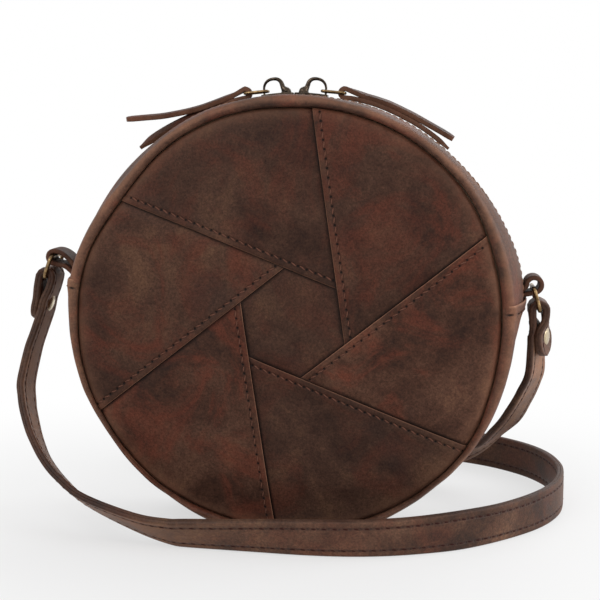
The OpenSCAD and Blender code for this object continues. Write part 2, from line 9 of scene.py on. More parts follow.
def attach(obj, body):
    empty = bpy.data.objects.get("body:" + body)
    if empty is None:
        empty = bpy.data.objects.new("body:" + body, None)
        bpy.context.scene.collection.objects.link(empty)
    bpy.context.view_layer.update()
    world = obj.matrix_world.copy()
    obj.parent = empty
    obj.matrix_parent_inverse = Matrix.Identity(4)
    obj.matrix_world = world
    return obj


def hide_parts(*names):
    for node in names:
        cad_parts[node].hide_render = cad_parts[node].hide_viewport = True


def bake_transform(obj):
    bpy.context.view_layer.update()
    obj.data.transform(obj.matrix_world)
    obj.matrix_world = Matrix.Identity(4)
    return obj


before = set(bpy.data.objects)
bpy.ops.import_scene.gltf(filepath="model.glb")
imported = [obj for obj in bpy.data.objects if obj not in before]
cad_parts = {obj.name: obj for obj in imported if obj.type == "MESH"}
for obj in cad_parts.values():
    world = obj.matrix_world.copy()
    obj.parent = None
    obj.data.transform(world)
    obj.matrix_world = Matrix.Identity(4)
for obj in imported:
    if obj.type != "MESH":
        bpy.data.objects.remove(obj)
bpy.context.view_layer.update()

# All lengths below are millimetres, in the part's own frame; MM turns them into metres.
MM = 0.001
BAG_R = 102.5
AXIS_Z = 100.1
PANEL_R = 96.5
HALF_GUSSET = 30.0
LEATHER = 1.8
BULGE = 5.0
ZIP_SLOT = 15.0
STRAP_WIDTH = 18.0
METAL_GAP = 0.25
LEATHER_GAP = 0.45
# The ends of the zip, in degrees from the bag's top, clockwise as seen from the front.
ZIP_LEFT, ZIP_RIGHT = -79.5, 85.0
# Sewing: the step from stitch to stitch, and how far the row lies from its edge or middle line.
LAP_PITCH, LAP_ROW, LAP_START = 4.2, 2.95, 3.0
END_PITCH, END_ROW = 4.0, 4.0
BAND_PITCH, BAND_ROW = 3.3, 2.4
STRAP_PITCH, STRAP_ROW = 4.5, 5.6
SIDES = ((-1, "left"), (1, "right"))
FACES = ((-1, "front"), (1, "back"))


def in_scene(name, data):
    """A new object at the origin that shows the given data."""
    obj = bpy.data.objects.new(name, data)
    bpy.context.scene.collection.objects.link(obj)
    return obj


# ---------------------------------------------------------------- camera

def studio_camera():
    data = bpy.data.cameras.new("studio_camera")
    data.sensor_width = 36
    data.lens = 77.26
    data.clip_start, data.clip_end = 0.01, 20
    camera = in_scene("studio_camera", data)
    camera.location = (0.066, -0.600, 0.183)
    yaw, pitch = math.radians(6.06), math.radians(7.24)
    look = Vector((-math.sin(yaw) * math.cos(pitch), math.cos(yaw) * math.cos(pitch), -math.sin(pitch)))
    camera.rotation_euler = look.to_track_quat("-Z", "Y").to_euler()
    bpy.context.scene.camera = camera


studio_camera()


# ---------------------------------------------------------------- small tools

def around(angle, r, y):
    """A place given by its angle from the bag's top, clockwise as seen from the front."""
    a = np.radians(angle)
    return np.stack(np.broadcast_arrays(r * np.sin(a), y, AXIS_Z + r * np.cos(a)), -1)


def outward(angle):
    """The direction away from the bag's axis at an angle from the top."""
    return around(angle, 1.0, 0.0) - np.array([0, 0, AXIS_Z])


def arc_angle(length, r):
    """The degrees that an arc of a length spans at a radius."""
    return length / r * 180 / math.pi


def arc_length(angle, r):
    """The length of an arc of some degrees at a radius."""
    return angle * math.pi / 180 * r


def polar(angle, r):
    """Right and up from the bag's axis, for an angle from the top."""
    return np.array([r * math.sin(math.radians(angle)), r * math.cos(math.radians(angle))])


def down_way(lean):
    """The direction down and outwards, some degrees from plumb."""
    return np.array([math.sin(math.radians(lean)), -math.cos(math.radians(lean))])


def unit(v):
    return v / np.maximum(np.linalg.norm(v, axis=-1, keepdims=True), 1e-9)


def step(a, b, x):
    """0 up to a and 1 from b on, smooth between them."""
    t = np.clip((x - a) / (b - a), 0, 1)
    return t * t * (3 - 2 * t)


def curve_through(places, n):
    """n places on a smooth line through the given ones, evenly spread by length."""
    p = np.asarray(places, float)
    ext = np.vstack([2 * p[0] - p[1], p, 2 * p[-1] - p[-2]])
    fine = []
    for i in range(1, len(ext) - 2):
        a, b, c, d = ext[i - 1:i + 3]
        for t in np.linspace(0, 1, 12, endpoint=False):
            fine.append(0.5 * (2 * b + (c - a) * t + (2 * a - 5 * b + 4 * c - d) * t * t
                               + (3 * b - a - 3 * c + d) * t ** 3))
    fine = np.array(fine + [p[-1]])
    return evenly(fine, n)


def run_along(line):
    """The length along a line up to each of its points."""
    return np.concatenate([[0], np.cumsum(np.linalg.norm(np.diff(line, axis=0), axis=1))])


def values_at(at, run, rows):
    """Each column of rows, read at some lengths along the run."""
    return np.stack([np.interp(at, run, rows[:, k]) for k in range(rows.shape[1])], -1)


def evenly(line, n):
    """n points spread by equal lengths along a line."""
    run = run_along(line)
    return values_at(np.linspace(0, run[-1], n), run, line)


def rough(points, size, seed=0.0):
    """Smooth noise from -1 to 1 at each point, with features of the given size."""
    each = np.asarray(points, float).reshape(-1, 3)
    out = [noise.noise(Vector((p[0] / size + seed, p[1] / size - seed, p[2] / size + 2 * seed))) for p in each]
    return np.array(out).reshape(np.asarray(points).shape[:-1])


def grid_faces(rows, cols, round_rows=False, round_cols=False):
    """The squares of a grid of points, which may close on itself either way."""
    faces = []
    for j in range(rows if round_rows else rows - 1):
        for i in range(cols if round_cols else cols - 1):
            a, b = j * cols + i, j * cols + (i + 1) % cols
            c, d = ((j + 1) % rows) * cols + (i + 1) % cols, ((j + 1) % rows) * cols + i
            faces.append((a, b, c, d))
    return faces


def disc_faces(rings, spokes):
    """The faces of a disc: a fan round its middle point, then rings of squares."""
    faces = [(0, 1 + (i + 1) % spokes, 1 + i) for i in range(spokes)]
    for j in range(rings - 1):
        for i in range(spokes):
            p, q = 1 + j * spokes + i, 1 + j * spokes + (i + 1) % spokes
            faces.append((p, q, q + spokes, p + spokes))
    return faces


def disc_places(rings, spokes):
    """How far right and up the points of a disc lie, its middle first."""
    a = np.linspace(0, 2 * math.pi, spokes, endpoint=False)
    return [np.concatenate([[0], (rings[:, None] * way).ravel()]) for way in (np.sin(a), np.cos(a))]


def turn_outwards(mesh, merge=0.0):
    """Points a closed shape's faces outwards, after points closer than merge are joined."""
    bm = bmesh.new()
    bm.from_mesh(mesh)
    if merge:
        bmesh.ops.remove_doubles(bm, verts=bm.verts, dist=merge)
    bmesh.ops.recalc_face_normals(bm, faces=bm.faces)
    bm.to_mesh(mesh)
    bm.free()


def make(name, points, faces, finish, seam=None, wear_and_painted_light=None, closed=True):
    """A mesh object at the origin. For each point, seam holds a place along and across a sewn edge, and the
    leather's rubbing and painted light: paler above zero, from rubbed edges, painted highlights and painted light,
    darker below zero, from painted shadow and darkened strap edges."""
    mesh = bpy.data.meshes.new(name)
    mesh.from_pydata((np.asarray(points, float).reshape(-1, 3) * MM).tolist(), [], faces)
    if seam is not None:
        corners = np.empty(len(mesh.loops), int)
        mesh.loops.foreach_get("vertex_index", corners)
        mesh.uv_layers.new(name="seam").data.foreach_set(
            "uv", np.asarray(seam, float).reshape(-1, 2)[corners].ravel())
    shade = mesh.attributes.new("wear_and_painted_light", "FLOAT", "POINT")
    amount = np.zeros(len(mesh.vertices)) if wear_and_painted_light is None else np.asarray(wear_and_painted_light, float).ravel()
    shade.data.foreach_set("value", amount)
    obj = in_scene(name, mesh)
    if closed:
        turn_outwards(mesh)
    mesh.materials.append(finish)
    smooth(mesh)
    return obj


def smooth(mesh, angle=42):
    mesh.polygons.foreach_set("use_smooth", [True] * len(mesh.polygons))
    mesh.set_sharp_from_angle(angle=math.radians(angle))


def settle(obj):
    """Applies the object's modifiers."""
    bpy.context.view_layer.update()
    mesh = bpy.data.meshes.new_from_object(obj.evaluated_get(bpy.context.evaluated_depsgraph_get()))
    obj.modifiers.clear()
    obj.data = mesh
    smooth(mesh)
    return obj


def place(obj, body, slot, *nodes):
    """Fixes a piece to a body and hides the nodes that it stands for; its material slot is not used."""
    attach(obj, body)
    if nodes:
        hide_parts(*nodes)
    return obj


def skin(obj, thickness, slot, node):
    """Turns an open skin of the bag to face outwards, gives it its wall on the inner side and places it."""
    mesh = obj.data
    centre = Vector((0, 0, AXIS_Z)) * MM
    if sum((p.center - centre).dot(p.normal) * p.area for p in mesh.polygons) < 0:
        mesh.flip_normals()
    wall = obj.modifiers.new("wall", "SOLIDIFY")
    wall.thickness = thickness * MM
    wall.offset = -1
    wall.use_even_offset = False
    place(settle(obj), "bag", slot, node)


# ---------------------------------------------------------------- finishes

def tone(r, g, b):
    """A colour as it looks on screen, 0 to 255, as the linear colour that a shader takes."""
    return tuple((c / 255 / 12.92 if c <= 10 else ((c / 255 + 0.055) / 1.055) ** 2.4) for c in (r, g, b)) + (1.0,)


def add_node(tree, kind, sockets=None, **settings):
    """A node with its settings, each of its sockets linked or given a value."""
    node = tree.nodes.new(kind)
    for key, value in settings.items():
        setattr(node, key, value)
    for key, value in (sockets or {}).items():
        if isinstance(value, bpy.types.NodeSocket):
            tree.links.new(value, node.inputs[key])
        else:
            node.inputs[key].default_value = value
    return node


class Finish:
    """A material and short ways to add nodes to it."""

    def __init__(self, name, roughness=0.5, metallic=0.0, specular=0.5):
        self.material = bpy.data.materials.new(name)
        self.material.use_nodes = True
        self.tree = self.material.node_tree
        self.shader = self.tree.nodes["Principled BSDF"]
        self.shader.inputs["Roughness"].default_value = roughness
        self.shader.inputs["Metallic"].default_value = metallic
        self.shader.inputs["Specular IOR Level"].default_value = specular
        self.place = self.add("ShaderNodeTexCoord").outputs["Object"]

    def add(self, kind, sockets=None, **settings):
        return add_node(self.tree, kind, sockets, **settings)

    def moved(self, turn=(0, 0, 0), shift=(0, 0, 0), scale=(1, 1, 1)):
        return self.add("ShaderNodeMapping", {"Vector": self.place, "Rotation": turn, "Location": shift,
                                              "Scale": scale}).outputs["Vector"]

    def cloud(self, where, scale, detail=4.0, roughness=0.55, distortion=0.0):
        return self.add("ShaderNodeTexNoise", {"Vector": where, "Scale": scale, "Detail": detail,
                                               "Roughness": roughness, "Distortion": distortion}).outputs["Fac"]

    def math(self, operation, a, b=0.0, clamp=False):
        return self.add("ShaderNodeMath", {0: a, 1: b}, operation=operation, use_clamp=clamp).outputs[0]

    def plus(self, a, b):
        return self.math("ADD", a, b)

    def times(self, a, b, clamp=False):
        return self.math("MULTIPLY", a, b, clamp)

    def span(self, value, low, high, to_low=0.0, to_high=1.0):
        return self.add("ShaderNodeMapRange", {"Value": value, "From Min": low, "From Max": high,
                                               "To Min": to_low, "To Max": to_high},
                        interpolation_type="SMOOTHSTEP").outputs["Result"]

    def ramp(self, value, stops):
        node = self.add("ShaderNodeValToRGB", {"Fac": value})
        bar = node.color_ramp.elements
        while len(bar) < len(stops):
            bar.new(0.5)
        for element, (at, colour) in zip(bar, stops):
            element.position = at
            element.color = colour
        return node.outputs["Color"]

    def mix(self, amount, a, b, how="MIX"):
        return self.add("ShaderNodeMix", {"Factor": amount, 6: a, 7: b}, data_type="RGBA", blend_type=how).outputs[2]

    def attribute(self, name):
        return self.add("ShaderNodeAttribute", attribute_name=name).outputs["Fac"]

    def seam(self):
        uv = self.add("ShaderNodeUVMap", uv_map="seam").outputs["UV"]
        split = self.add("ShaderNodeSeparateXYZ", {"Vector": uv})
        return split.outputs["X"], split.outputs["Y"]

    def link(self, value, socket):
        self.tree.links.new(value, self.shader.inputs[socket])

    def bump(self, height, distance, strength=1.0, under=None):
        sockets = {"Height": height, "Distance": distance, "Strength": strength}
        if under is not None:
            sockets["Normal"] = under
        return self.add("ShaderNodeBump", sockets).outputs["Normal"]


def stitch_holes(f, pitch, rows):
    """1 in the needle holes and 0 elsewhere, and the same for the shallow channel of each row.
    The seam map gives whole numbers along at the holes, and millimetres across."""
    along, across = f.seam()
    off = f.times(f.math("SUBTRACT", f.math("FRACT", f.plus(along, 0.5)), 0.5), pitch)
    holes = channel = None
    for row in rows:
        side = f.math("SUBTRACT", across, row)
        reach = f.math("SQRT", f.plus(f.times(off, off), f.times(side, side)))
        hole = f.span(reach, 0.3, 0.72, 1, 0)
        groove = f.span(f.math("ABSOLUTE", side), 0.25, 1.0, 1, 0)
        holes = hole if holes is None else f.math("MAXIMUM", holes, hole)
        channel = groove if channel is None else f.math("MAXIMUM", channel, groove)
    return holes, channel


def waxed_leather(name, turn, shift, lift, red, pitch=None, rows=(), shine=0.12, dash=False, blush=1.0):
    """Oiled brown hide: clouded colour, reddish patches, pale rubbed edges with painted highlights and painted
    light, painted shadow where pieces lie on it, pores and fine creases. turn and shift choose its part of the
    pattern, lift its lightness, red the strength of its patches and blush its share of red. It has needle holes at the
    given pitch along its rows, darkened with painted shade like the channel of each row."""
    f = Finish(name, 0.55, 0.0, shine)
    where = f.moved((0.3 * turn, turn, 0.2), (shift, 0.13 * shift, 0.7 * shift))
    broad = f.cloud(where, 13, 3, 0.5, 0.8)
    mottle = f.cloud(where, 52, 6, 0.62, 0.5)
    fine = f.cloud(where, 430, 4, 0.6)
    grain = f.cloud(where, 950, 4, 0.85)
    blotch = f.plus(f.times(broad, 0.42), f.plus(f.times(mottle, 0.4), f.times(fine, 0.18)))
    shade = lambda r, g, b: tone(r * lift * blush, g * lift, b * lift)
    colour = f.ramp(blotch, [(0.39, shade(45, 28, 21)), (0.46, shade(64, 41, 31)),
                             (0.54, shade(81, 55, 43)), (0.63, shade(101, 71, 54))])
    warm = f.span(f.cloud(where, 27, 5, 0.65, 1.2), 0.45, 0.67, 0, red)
    colour = f.mix(warm, colour, shade(99, 51, 37))
    cool = f.span(f.cloud(f.moved((1, 0.4, 2), (3 + shift, 1, 2)), 17, 4, 0.6, 0.9), 0.52, 0.72, 0, 0.4)
    colour = f.mix(cool, colour, shade(42, 32, 30))
    scuff = f.cloud(f.moved((0.2, 0.9 + turn, 0.3), (shift, 0, 0), (1, 1, 7)), 120, 5, 0.75)
    colour = f.mix(f.span(scuff, 0.58, 0.8, 0, 0.3), colour, shade(112, 80, 64))
    colour = f.mix(1.0, colour, f.ramp(grain, [(0.33, (0.4, 0.4, 0.4, 1)), (0.64, (1, 1, 1, 1))]), "MULTIPLY")
    wear_and_painted_light = f.attribute("wear_and_painted_light")
    # Above zero the leather turns paler: rubbed cut edges, and painted highlights and painted light on rims and
    # strands.
    pale_wear_and_highlight = f.times(wear_and_painted_light, f.span(mottle, 0.3, 0.6, 0.45, 1.0), clamp=True)
    colour = f.mix(pale_wear_and_highlight, colour, shade(132, 94, 74))
    # Below zero it turns darker: painted shadow beside pieces that lie on the leather, and darkened strap edges.
    colour = f.mix(f.times(wear_and_painted_light, -1.0, clamp=True), colour, shade(14, 8, 7))
    pores = f.add("ShaderNodeTexVoronoi", {"Vector": where, "Scale": 1050.0}, feature="F1").outputs["Distance"]
    creases = f.add("ShaderNodeTexVoronoi", {"Vector": where, "Scale": 300.0, "Randomness": 1.0},
                    feature="DISTANCE_TO_EDGE").outputs["Distance"]
    relief = f.plus(f.times(f.span(pores, 0.0, 0.45), 0.3), f.times(f.span(creases, 0.0, 0.12), 0.16))
    relief = f.plus(relief, f.times(fine, 0.45))
    normal = f.bump(mottle, 0.0006, 0.35)
    normal = f.bump(f.plus(relief, f.times(grain, 0.5)), 0.0002, 0.7, normal)
    if rows:
        holes, channel = stitch_holes(f, pitch, rows)
        normal = f.bump(f.math("SUBTRACT", 1.0, f.plus(f.times(channel, 0.5), holes)), 0.0005, 0.7, normal)
        # Painted shade: the sunk channel of each row and the needle holes are darkened.
        colour = f.mix(f.times(channel, 0.6 if dash else 0.25), colour, shade(44, 26, 21))
        colour = f.mix(f.times(holes, 0.35 if dash else 0.95), colour, shade(12, 7, 6))
    f.link(colour, "Base Color")
    f.link(f.span(f.plus(f.times(mottle, 0.6), f.times(fine, 0.4)), 0.3, 0.7, 0.46, 0.68), "Roughness")
    f.link(normal, "Normal")
    f.shader.inputs["Sheen Weight"].default_value = 0.04
    f.shader.inputs["Sheen Roughness"].default_value = 0.45
    f.shader.inputs["Sheen Tint"].default_value = tone(190, 130, 110)
    return f.material


def antique_metal(name, light, dark, roughness):
    """Brass with a clouded patina and small dark spots."""
    f = Finish(name, roughness, 1.0)
    patina = f.cloud(f.place, 260, 5, 0.65, 0.6)
    spots = f.cloud(f.moved((1, 2, 0.5)), 900, 3, 0.7)
    colour = f.ramp(f.plus(f.times(patina, 0.75), f.times(spots, 0.25)),
                    [(0.35, tone(*dark)), (0.58, tone(*light)), (0.75, tone(*[min(255, c * 1.15) for c in light]))])
    f.link(colour, "Base Color")
    f.link(f.span(patina, 0.35, 0.7, roughness + 0.16, roughness - 0.06), "Roughness")
    f.link(f.bump(spots, 0.00004, 0.5), "Normal")
    return f.material


def waxed_thread(name, colour):
    """Thread of twisted plies, darker in the grooves between them as painted shade, and in random spots."""
    f = Finish(name, 0.7, 0.0, 0.12)
    ply = f.add("ShaderNodeTexWave", {"Vector": f.moved((0.5, 0.8, 0.4)), "Scale": 900.0, "Distortion": 2.0},
                wave_type="BANDS").outputs["Fac"]
    spot = f.cloud(f.place, 500, 3)
    r, g, b = colour
    # Painted shade: the colour darkens where the plies sink, and in random spots.
    f.link(f.mix(f.times(f.plus(ply, spot), 0.5), tone(r * 0.62, g * 0.62, b * 0.62),
                 tone(r, g, b)), "Base Color")
    f.link(f.bump(ply, 0.00008, 0.6), "Normal")
    return f.material


def woven(name, warp, weft, along, across, from_seam=True):
    """Cloth whose two sets of threads cross: threads per mm along and across."""
    f = Finish(name, 0.8, 0.0, 0.2)
    if from_seam:
        u, v = f.seam()
    else:
        split = f.add("ShaderNodeSeparateXYZ", {"Vector": f.moved(scale=(1000, 1000, 1000))})
        v = f.plus(split.outputs["Y"], f.times(split.outputs["Z"], 0.6))
        u = f.plus(split.outputs["X"], f.times(split.outputs["Z"], 0.8))
    turn = 2 * math.pi
    a = f.math("SINE", f.times(u, turn * along))
    b = f.math("SINE", f.times(v, turn * across))
    cross = f.span(f.times(a, b), -0.5, 0.5)
    height = f.plus(f.times(f.math("ABSOLUTE", a), 0.5), f.times(f.math("ABSOLUTE", b), 0.5))
    dirt = f.cloud(f.place, 90, 5, 0.6)
    colour = f.mix(cross, tone(*warp), tone(*weft))
    colour = f.mix(f.span(dirt, 0.4, 0.7, 0, 0.35), colour, tone(*[c * 0.7 for c in warp]))
    f.link(colour, "Base Color")
    f.link(f.bump(height, 0.00012, 0.7), "Normal")
    f.shader.inputs["Sheen Weight"].default_value = 0.2
    return f.material


# The blades' pieces of hide: the turn and shift of the pattern, the lift and the red.
HIDE_TURNS = [(0.2, 1.3, 0.97, 0.5), (1.4, 4.1, 1.03, 0.65), (2.3, 7.7, 1.2, 0.7),
              (3.4, 2.9, 0.93, 0.5), (4.4, 9.2, 1.12, 0.75), (5.3, 5.6, 1.02, 0.75)]
blade_hides = [waxed_leather("blade_hide_%d" % (k + 1), *own, LAP_PITCH, (LAP_ROW,))
               for k, own in enumerate(HIDE_TURNS)]
hexagon_hide = waxed_leather("hexagon_hide", 0.9, 3.3, 0.93, 0.35)
back_hide = waxed_leather("back_hide", 2.0, 6.1, 1.0, 0.35)
gusset_hide = waxed_leather("gusset_hide", 0.6, 8.4, 1.34, 0.5, END_PITCH, (END_ROW,), 0.2, blush=0.98)
band_hide = waxed_leather("zip_band_hide", 1.8, 5.2, 1.34, 0.5, BAND_PITCH, (BAND_ROW,), 0.2, blush=0.98)
strap_hide = waxed_leather("strap_hide", 2.9, 1.9, 1.46, 0.25, STRAP_PITCH, (-STRAP_ROW, STRAP_ROW), 0.24, True, 0.95)
pull_hide = waxed_leather("pull_hide", 0.1, 2.2, 1.1, 0.5)
tab_hide = waxed_leather("tab_hide", 1.1, 4.8, 1.05, 0.55)
antique_brass = antique_metal("antique_brass", (150, 124, 88), (72, 54, 36), 0.3)
dark_brass = antique_metal("dark_brass", (76, 66, 56), (26, 21, 18), 0.22)
tooth_brass = antique_metal("tooth_brass", (214, 188, 144), (120, 96, 66), 0.3)
cap_brass = antique_metal("cap_brass", (206, 190, 160), (150, 130, 100), 0.22)
brown_thread = waxed_thread("brown_thread", (122, 81, 66))
tan_thread = waxed_thread("tan_thread", (158, 118, 92))
maroon_thread = waxed_thread("maroon_thread", (60, 26, 21))
tape_cloth = woven("tape_cloth", (58, 40, 32), (42, 30, 26), 0.9, 1.4)
lining_cloth = woven("lining_cloth", (140, 122, 102), (118, 100, 84), 1.1, 1.1, False)


# ---------------------------------------------------------------- repeated shapes

def group_with(name, wanted):
    """A geometry tree with named inputs, given as (name, kind, value)."""
    tree = bpy.data.node_groups.new(name, "GeometryNodeTree")
    tree.interface.new_socket(name="Places", in_out="INPUT", socket_type="NodeSocketGeometry")
    for label, kind, value in wanted:
        socket = tree.interface.new_socket(name=label, in_out="INPUT", socket_type=kind)
        if value is not None:
            socket.default_value = value
    tree.interface.new_socket(name="Result", in_out="OUTPUT", socket_type="NodeSocketGeometry")
    start, end = tree.nodes.new("NodeGroupInput"), tree.nodes.new("NodeGroupOutput")

    def add(kind, sockets=None, **settings):
        return add_node(tree, kind, sockets, **settings)

    return tree, start, end, add


def turned_to(add):
    """Turns each copy so that its z follows the stored facing and its x the stored along."""
    out = add("GeometryNodeInputNamedAttribute", {"Name": "facing"}, data_type="FLOAT_VECTOR").outputs[0]
    way = add("GeometryNodeInputNamedAttribute", {"Name": "along"}, data_type="FLOAT_VECTOR").outputs[0]
    upright = add("FunctionNodeAlignRotationToVector", {"Vector": out}, axis="Z").outputs[0]
    return add("FunctionNodeAlignRotationToVector", {"Rotation": upright, "Vector": way},
               axis="X", pivot_axis="Z").outputs[0]


def stitch_row_tree():
    """A long bead of thread at each place, uneven in size by a random draw."""
    tree, start, end, add = group_with("stitch_row", [
        ("Stitch Length", "NodeSocketFloat", 0.003), ("Thread Width", "NodeSocketFloat", 0.0008),
        ("Unevenness", "NodeSocketFloat", 0.08), ("Seed", "NodeSocketInt", 1),
        ("Thread", "NodeSocketMaterial", None)])
    given = start.outputs
    bead = add("GeometryNodeMeshUVSphere", {"Segments": 8, "Rings": 6, "Radius": 0.5})
    size = add("ShaderNodeCombineXYZ", {"X": given["Stitch Length"], "Y": given["Thread Width"],
                                        "Z": given["Thread Width"]})
    stitch = add("GeometryNodeTransform", {"Geometry": bead.outputs["Mesh"], "Scale": size.outputs[0]})
    low = add("ShaderNodeMath", {0: 1.0, 1: given["Unevenness"]}, operation="SUBTRACT")
    high = add("ShaderNodeMath", {0: 1.0, 1: given["Unevenness"]}, operation="ADD")
    scale = add("FunctionNodeRandomValue", {"Seed": given["Seed"], 2: low.outputs[0], 3: high.outputs[0]},
                data_type="FLOAT")
    put = add("GeometryNodeInstanceOnPoints", {"Points": given["Places"], "Instance": stitch.outputs[0],
                                               "Rotation": turned_to(add), "Scale": scale.outputs[1]})
    real = add("GeometryNodeRealizeInstances", {"Geometry": put.outputs[0]})
    done = add("GeometryNodeSetMaterial", {"Geometry": real.outputs[0], "Material": given["Thread"]})
    tree.links.new(done.outputs[0], end.inputs[0])
    return tree


def shape_row_tree():
    """A copy of another object's shape at each place."""
    tree, start, end, add = group_with("shape_row", [
        ("Shape", "NodeSocketObject", None), ("Size", "NodeSocketFloat", 1.0),
        ("Finish", "NodeSocketMaterial", None)])
    given = start.outputs
    info = add("GeometryNodeObjectInfo", {"Object": given["Shape"]})
    put = add("GeometryNodeInstanceOnPoints", {"Points": given["Places"], "Instance": info.outputs["Geometry"],
                                               "Rotation": turned_to(add), "Scale": given["Size"]})
    real = add("GeometryNodeRealizeInstances", {"Geometry": put.outputs[0]})
    done = add("GeometryNodeSetMaterial", {"Geometry": real.outputs[0], "Material": given["Finish"]})
    tree.links.new(done.outputs[0], end.inputs[0])
    return tree


stitch_row = stitch_row_tree()
shape_row = shape_row_tree()


def repeat(name, tree, places, along, out, values):
    """Runs a tree over places with their directions, and returns the result as a plain mesh object."""
    mesh = bpy.data.meshes.new(name + "_places")
    mesh.from_pydata((np.asarray(places, float) * MM).tolist(), [], [])
    for key, vectors in (("along", along), ("facing", out)):
        store = mesh.attributes.new(key, "FLOAT_VECTOR", "POINT")
        store.data.foreach_set("vector", np.asarray(vectors, float).ravel())
    holder = in_scene(name + "_places", mesh)
    grow = holder.modifiers.new("row", "NODES")
    grow.node_group = tree
    names = {item.name: item.identifier for item in tree.interface.items_tree if item.in_out == "INPUT"}
    for label, value in values.items():
        grow[names[label]] = value
    bpy.context.view_layer.update()
    made = bpy.data.meshes.new_from_object(holder.evaluated_get(bpy.context.evaluated_depsgraph_get()))
    made.name = name
    bpy.data.objects.remove(holder)
    smooth(made, 60)
    return in_scene(name, made)


def sew(name, rows, length, width, thread, seed, body="bag"):
    """Stitches at the given rows of (places, along, facing)."""
    places, along, out = (np.concatenate([row[k] for row in rows]) for k in range(3))
    obj = repeat(name, stitch_row, places, along, out, {
        "Stitch Length": length * MM, "Thread Width": width * MM, "Unevenness": 0.08, "Seed": seed,
        "Thread": thread})
    if body:
        place(obj, body, "leather")
    return obj


# ---------------------------------------------------------------- panels

# The soft bag isn't quite round: how far its front seam and the roll beside it stand out, in mm,
# by the angle from the top.
RIM = np.array([
    (-180, -0.5, 0), (-160, -0.6, -0.8), (-150, -0.2, -2.0), (-140, 0.4, -2.7), (-130, 0.1, -2.8), (-120, 0, -2.0),
    (-110, 1.0, -1.0), (-100, 0.8, -0.6), (-90, 0.2, -0.2), (-80, 0.2, 0.6), (-72, -0.3, -0.2), (-65, -1.8, -1.4),
    (-60, -3.0, -2.2), (-52, -3.5, -3.4), (-45, -2.8, -3.0), (-40, -1.9, -2.4), (-30, -1.0, -1.5), (-20, -0.7, -0.8),
    (-10, -0.8, -0.6), (0, -1.2, -0.4), (10, -0.2, -0.3), (20, 0.5, 0), (30, 0.9, 0.3), (40, 1.2, 0.6), (50, 1.4, 0.8),
    (60, 0.7, 0.6), (70, -0.5, 0.2), (80, -1.1, 0), (90, -1.5, -0.2), (100, -1.4, -0.4), (110, -0.8, -0.6),
    (118, 0.8, -0.4), (130, 1.4, -0.8), (140, 0.9, -1.4), (150, 0.6, -1.2), (160, 0.3, -0.8), (180, -0.5, 0)])
TURNS = np.arange(-180, 180.5, 0.5)


def even_table(places, values, width):
    """A table by half degrees, smoothed over a width that is an odd count."""
    line = np.interp(TURNS, places, values)
    return np.convolve(np.pad(line, width // 2, "edge"), np.ones(width) / width, "valid")


SEAM_SHIFT = even_table(RIM[:, 0], RIM[:, 1], 13)
ROLL_SHIFT = even_table(RIM[:, 0], RIM[:, 2], 13)


def turned(angle):
    """The same angle between -180 and 180 degrees."""
    return (np.asarray(angle, float) + 180) % 360 - 180


def out_of_round(x, v):
    """The factor that brings a place of the round front to the real outline."""
    share = np.hypot(x, v) / PANEL_R
    return 1 + np.interp(np.degrees(np.arctan2(x, v)), TURNS, SEAM_SHIFT) / PANEL_R * share ** 4


DOME = np.array([(0, 1), (0.3, 0.975), (0.55, 0.89), (0.75, 0.73), (0.88, 0.5), (0.95, 0.27),
                 (0.985, 0.09), (1, -0.22), (1.02, -0.4)])
DOME_LINE = curve_through(DOME, 240)


def dome(x, v):
    """How far a panel stands out beyond its seam."""
    return BULGE * np.interp(np.hypot(x, v) / PANEL_R, DOME_LINE[:, 0], DOME_LINE[:, 1])


def swell(x, v, seed):
    """The gentle unevenness of soft leather, none at the seam."""
    p = np.stack([x, np.full_like(x, seed), v], -1)
    s = np.hypot(x, v) / PANEL_R
    return (0.55 * rough(p, 42, seed) + 0.22 * rough(p, 17, seed + 3)) * (1 - np.clip(s, 0, 1) ** 8)


BLADE_WALL = 1.3
HEX_CENTRE = np.array([2.6, 0.2])
HEX_R = 25.2


def corner(k):
    """A corner of the centre hexagon, right and up from the axis; the laps go round it by k."""
    a = math.radians(98.1 - 60 * k)
    return HEX_CENTRE + HEX_R * np.array([math.cos(a), math.sin(a)])


def along_lap(k):
    return unit(corner(k) - corner(k + 1))


def across_lap(k):
    """The direction from a lap's edge into its own blade."""
    a = along_lap(k)
    return np.array([a[1], -a[0]])


def to_rim(p, d, r=PANEL_R):
    """How far p is from the rim along d."""
    b = p @ d
    return -b + np.sqrt(np.maximum(b * b - (p * p).sum(-1) + r * r, 0))


def raised(d):
    """A blade's own edge lies over its neighbour: it stands up and its cut edge is rounded."""
    edge = np.clip(1 - d / 0.55, 0, 1)
    channel = np.exp(-((d - LAP_ROW) / 0.9) ** 2)
    return 0.75 * (1 - step(1.0, 9.0, d)) - 0.4 * edge ** 2 - 0.16 * channel


def pressed(d):
    """Where the next piece lies on it, a blade is pressed down; d is negative before that edge."""
    return 0.85 * step(-5.5, 0.3, d)


def blade_height(x, v, k):
    """How far blade k stands out beyond the panel seam."""
    p = np.stack([x, v], -1)
    own = (p - corner(k + 1)) @ across_lap(k)
    following = (p - corner(k + 1)) @ across_lap(k + 1)
    return dome(x, v) + swell(x, v, 2.0) + raised(own) - pressed(following)


def front_place(x, v, height):
    f = out_of_round(x, v)
    return np.stack([x * f, -(HALF_GUSSET + height), AXIS_Z + v * f], -1)


# The first rows of a blade's mesh, by their distance from its edge.
EDGE_ROWS = [0, 0.12, 0.28, 0.5, 0.8, 1.3, 1.9, 2.5, 2.9, 3.3, 3.7, 4.2, 5.0, 6.0, 7.2, 8.5]


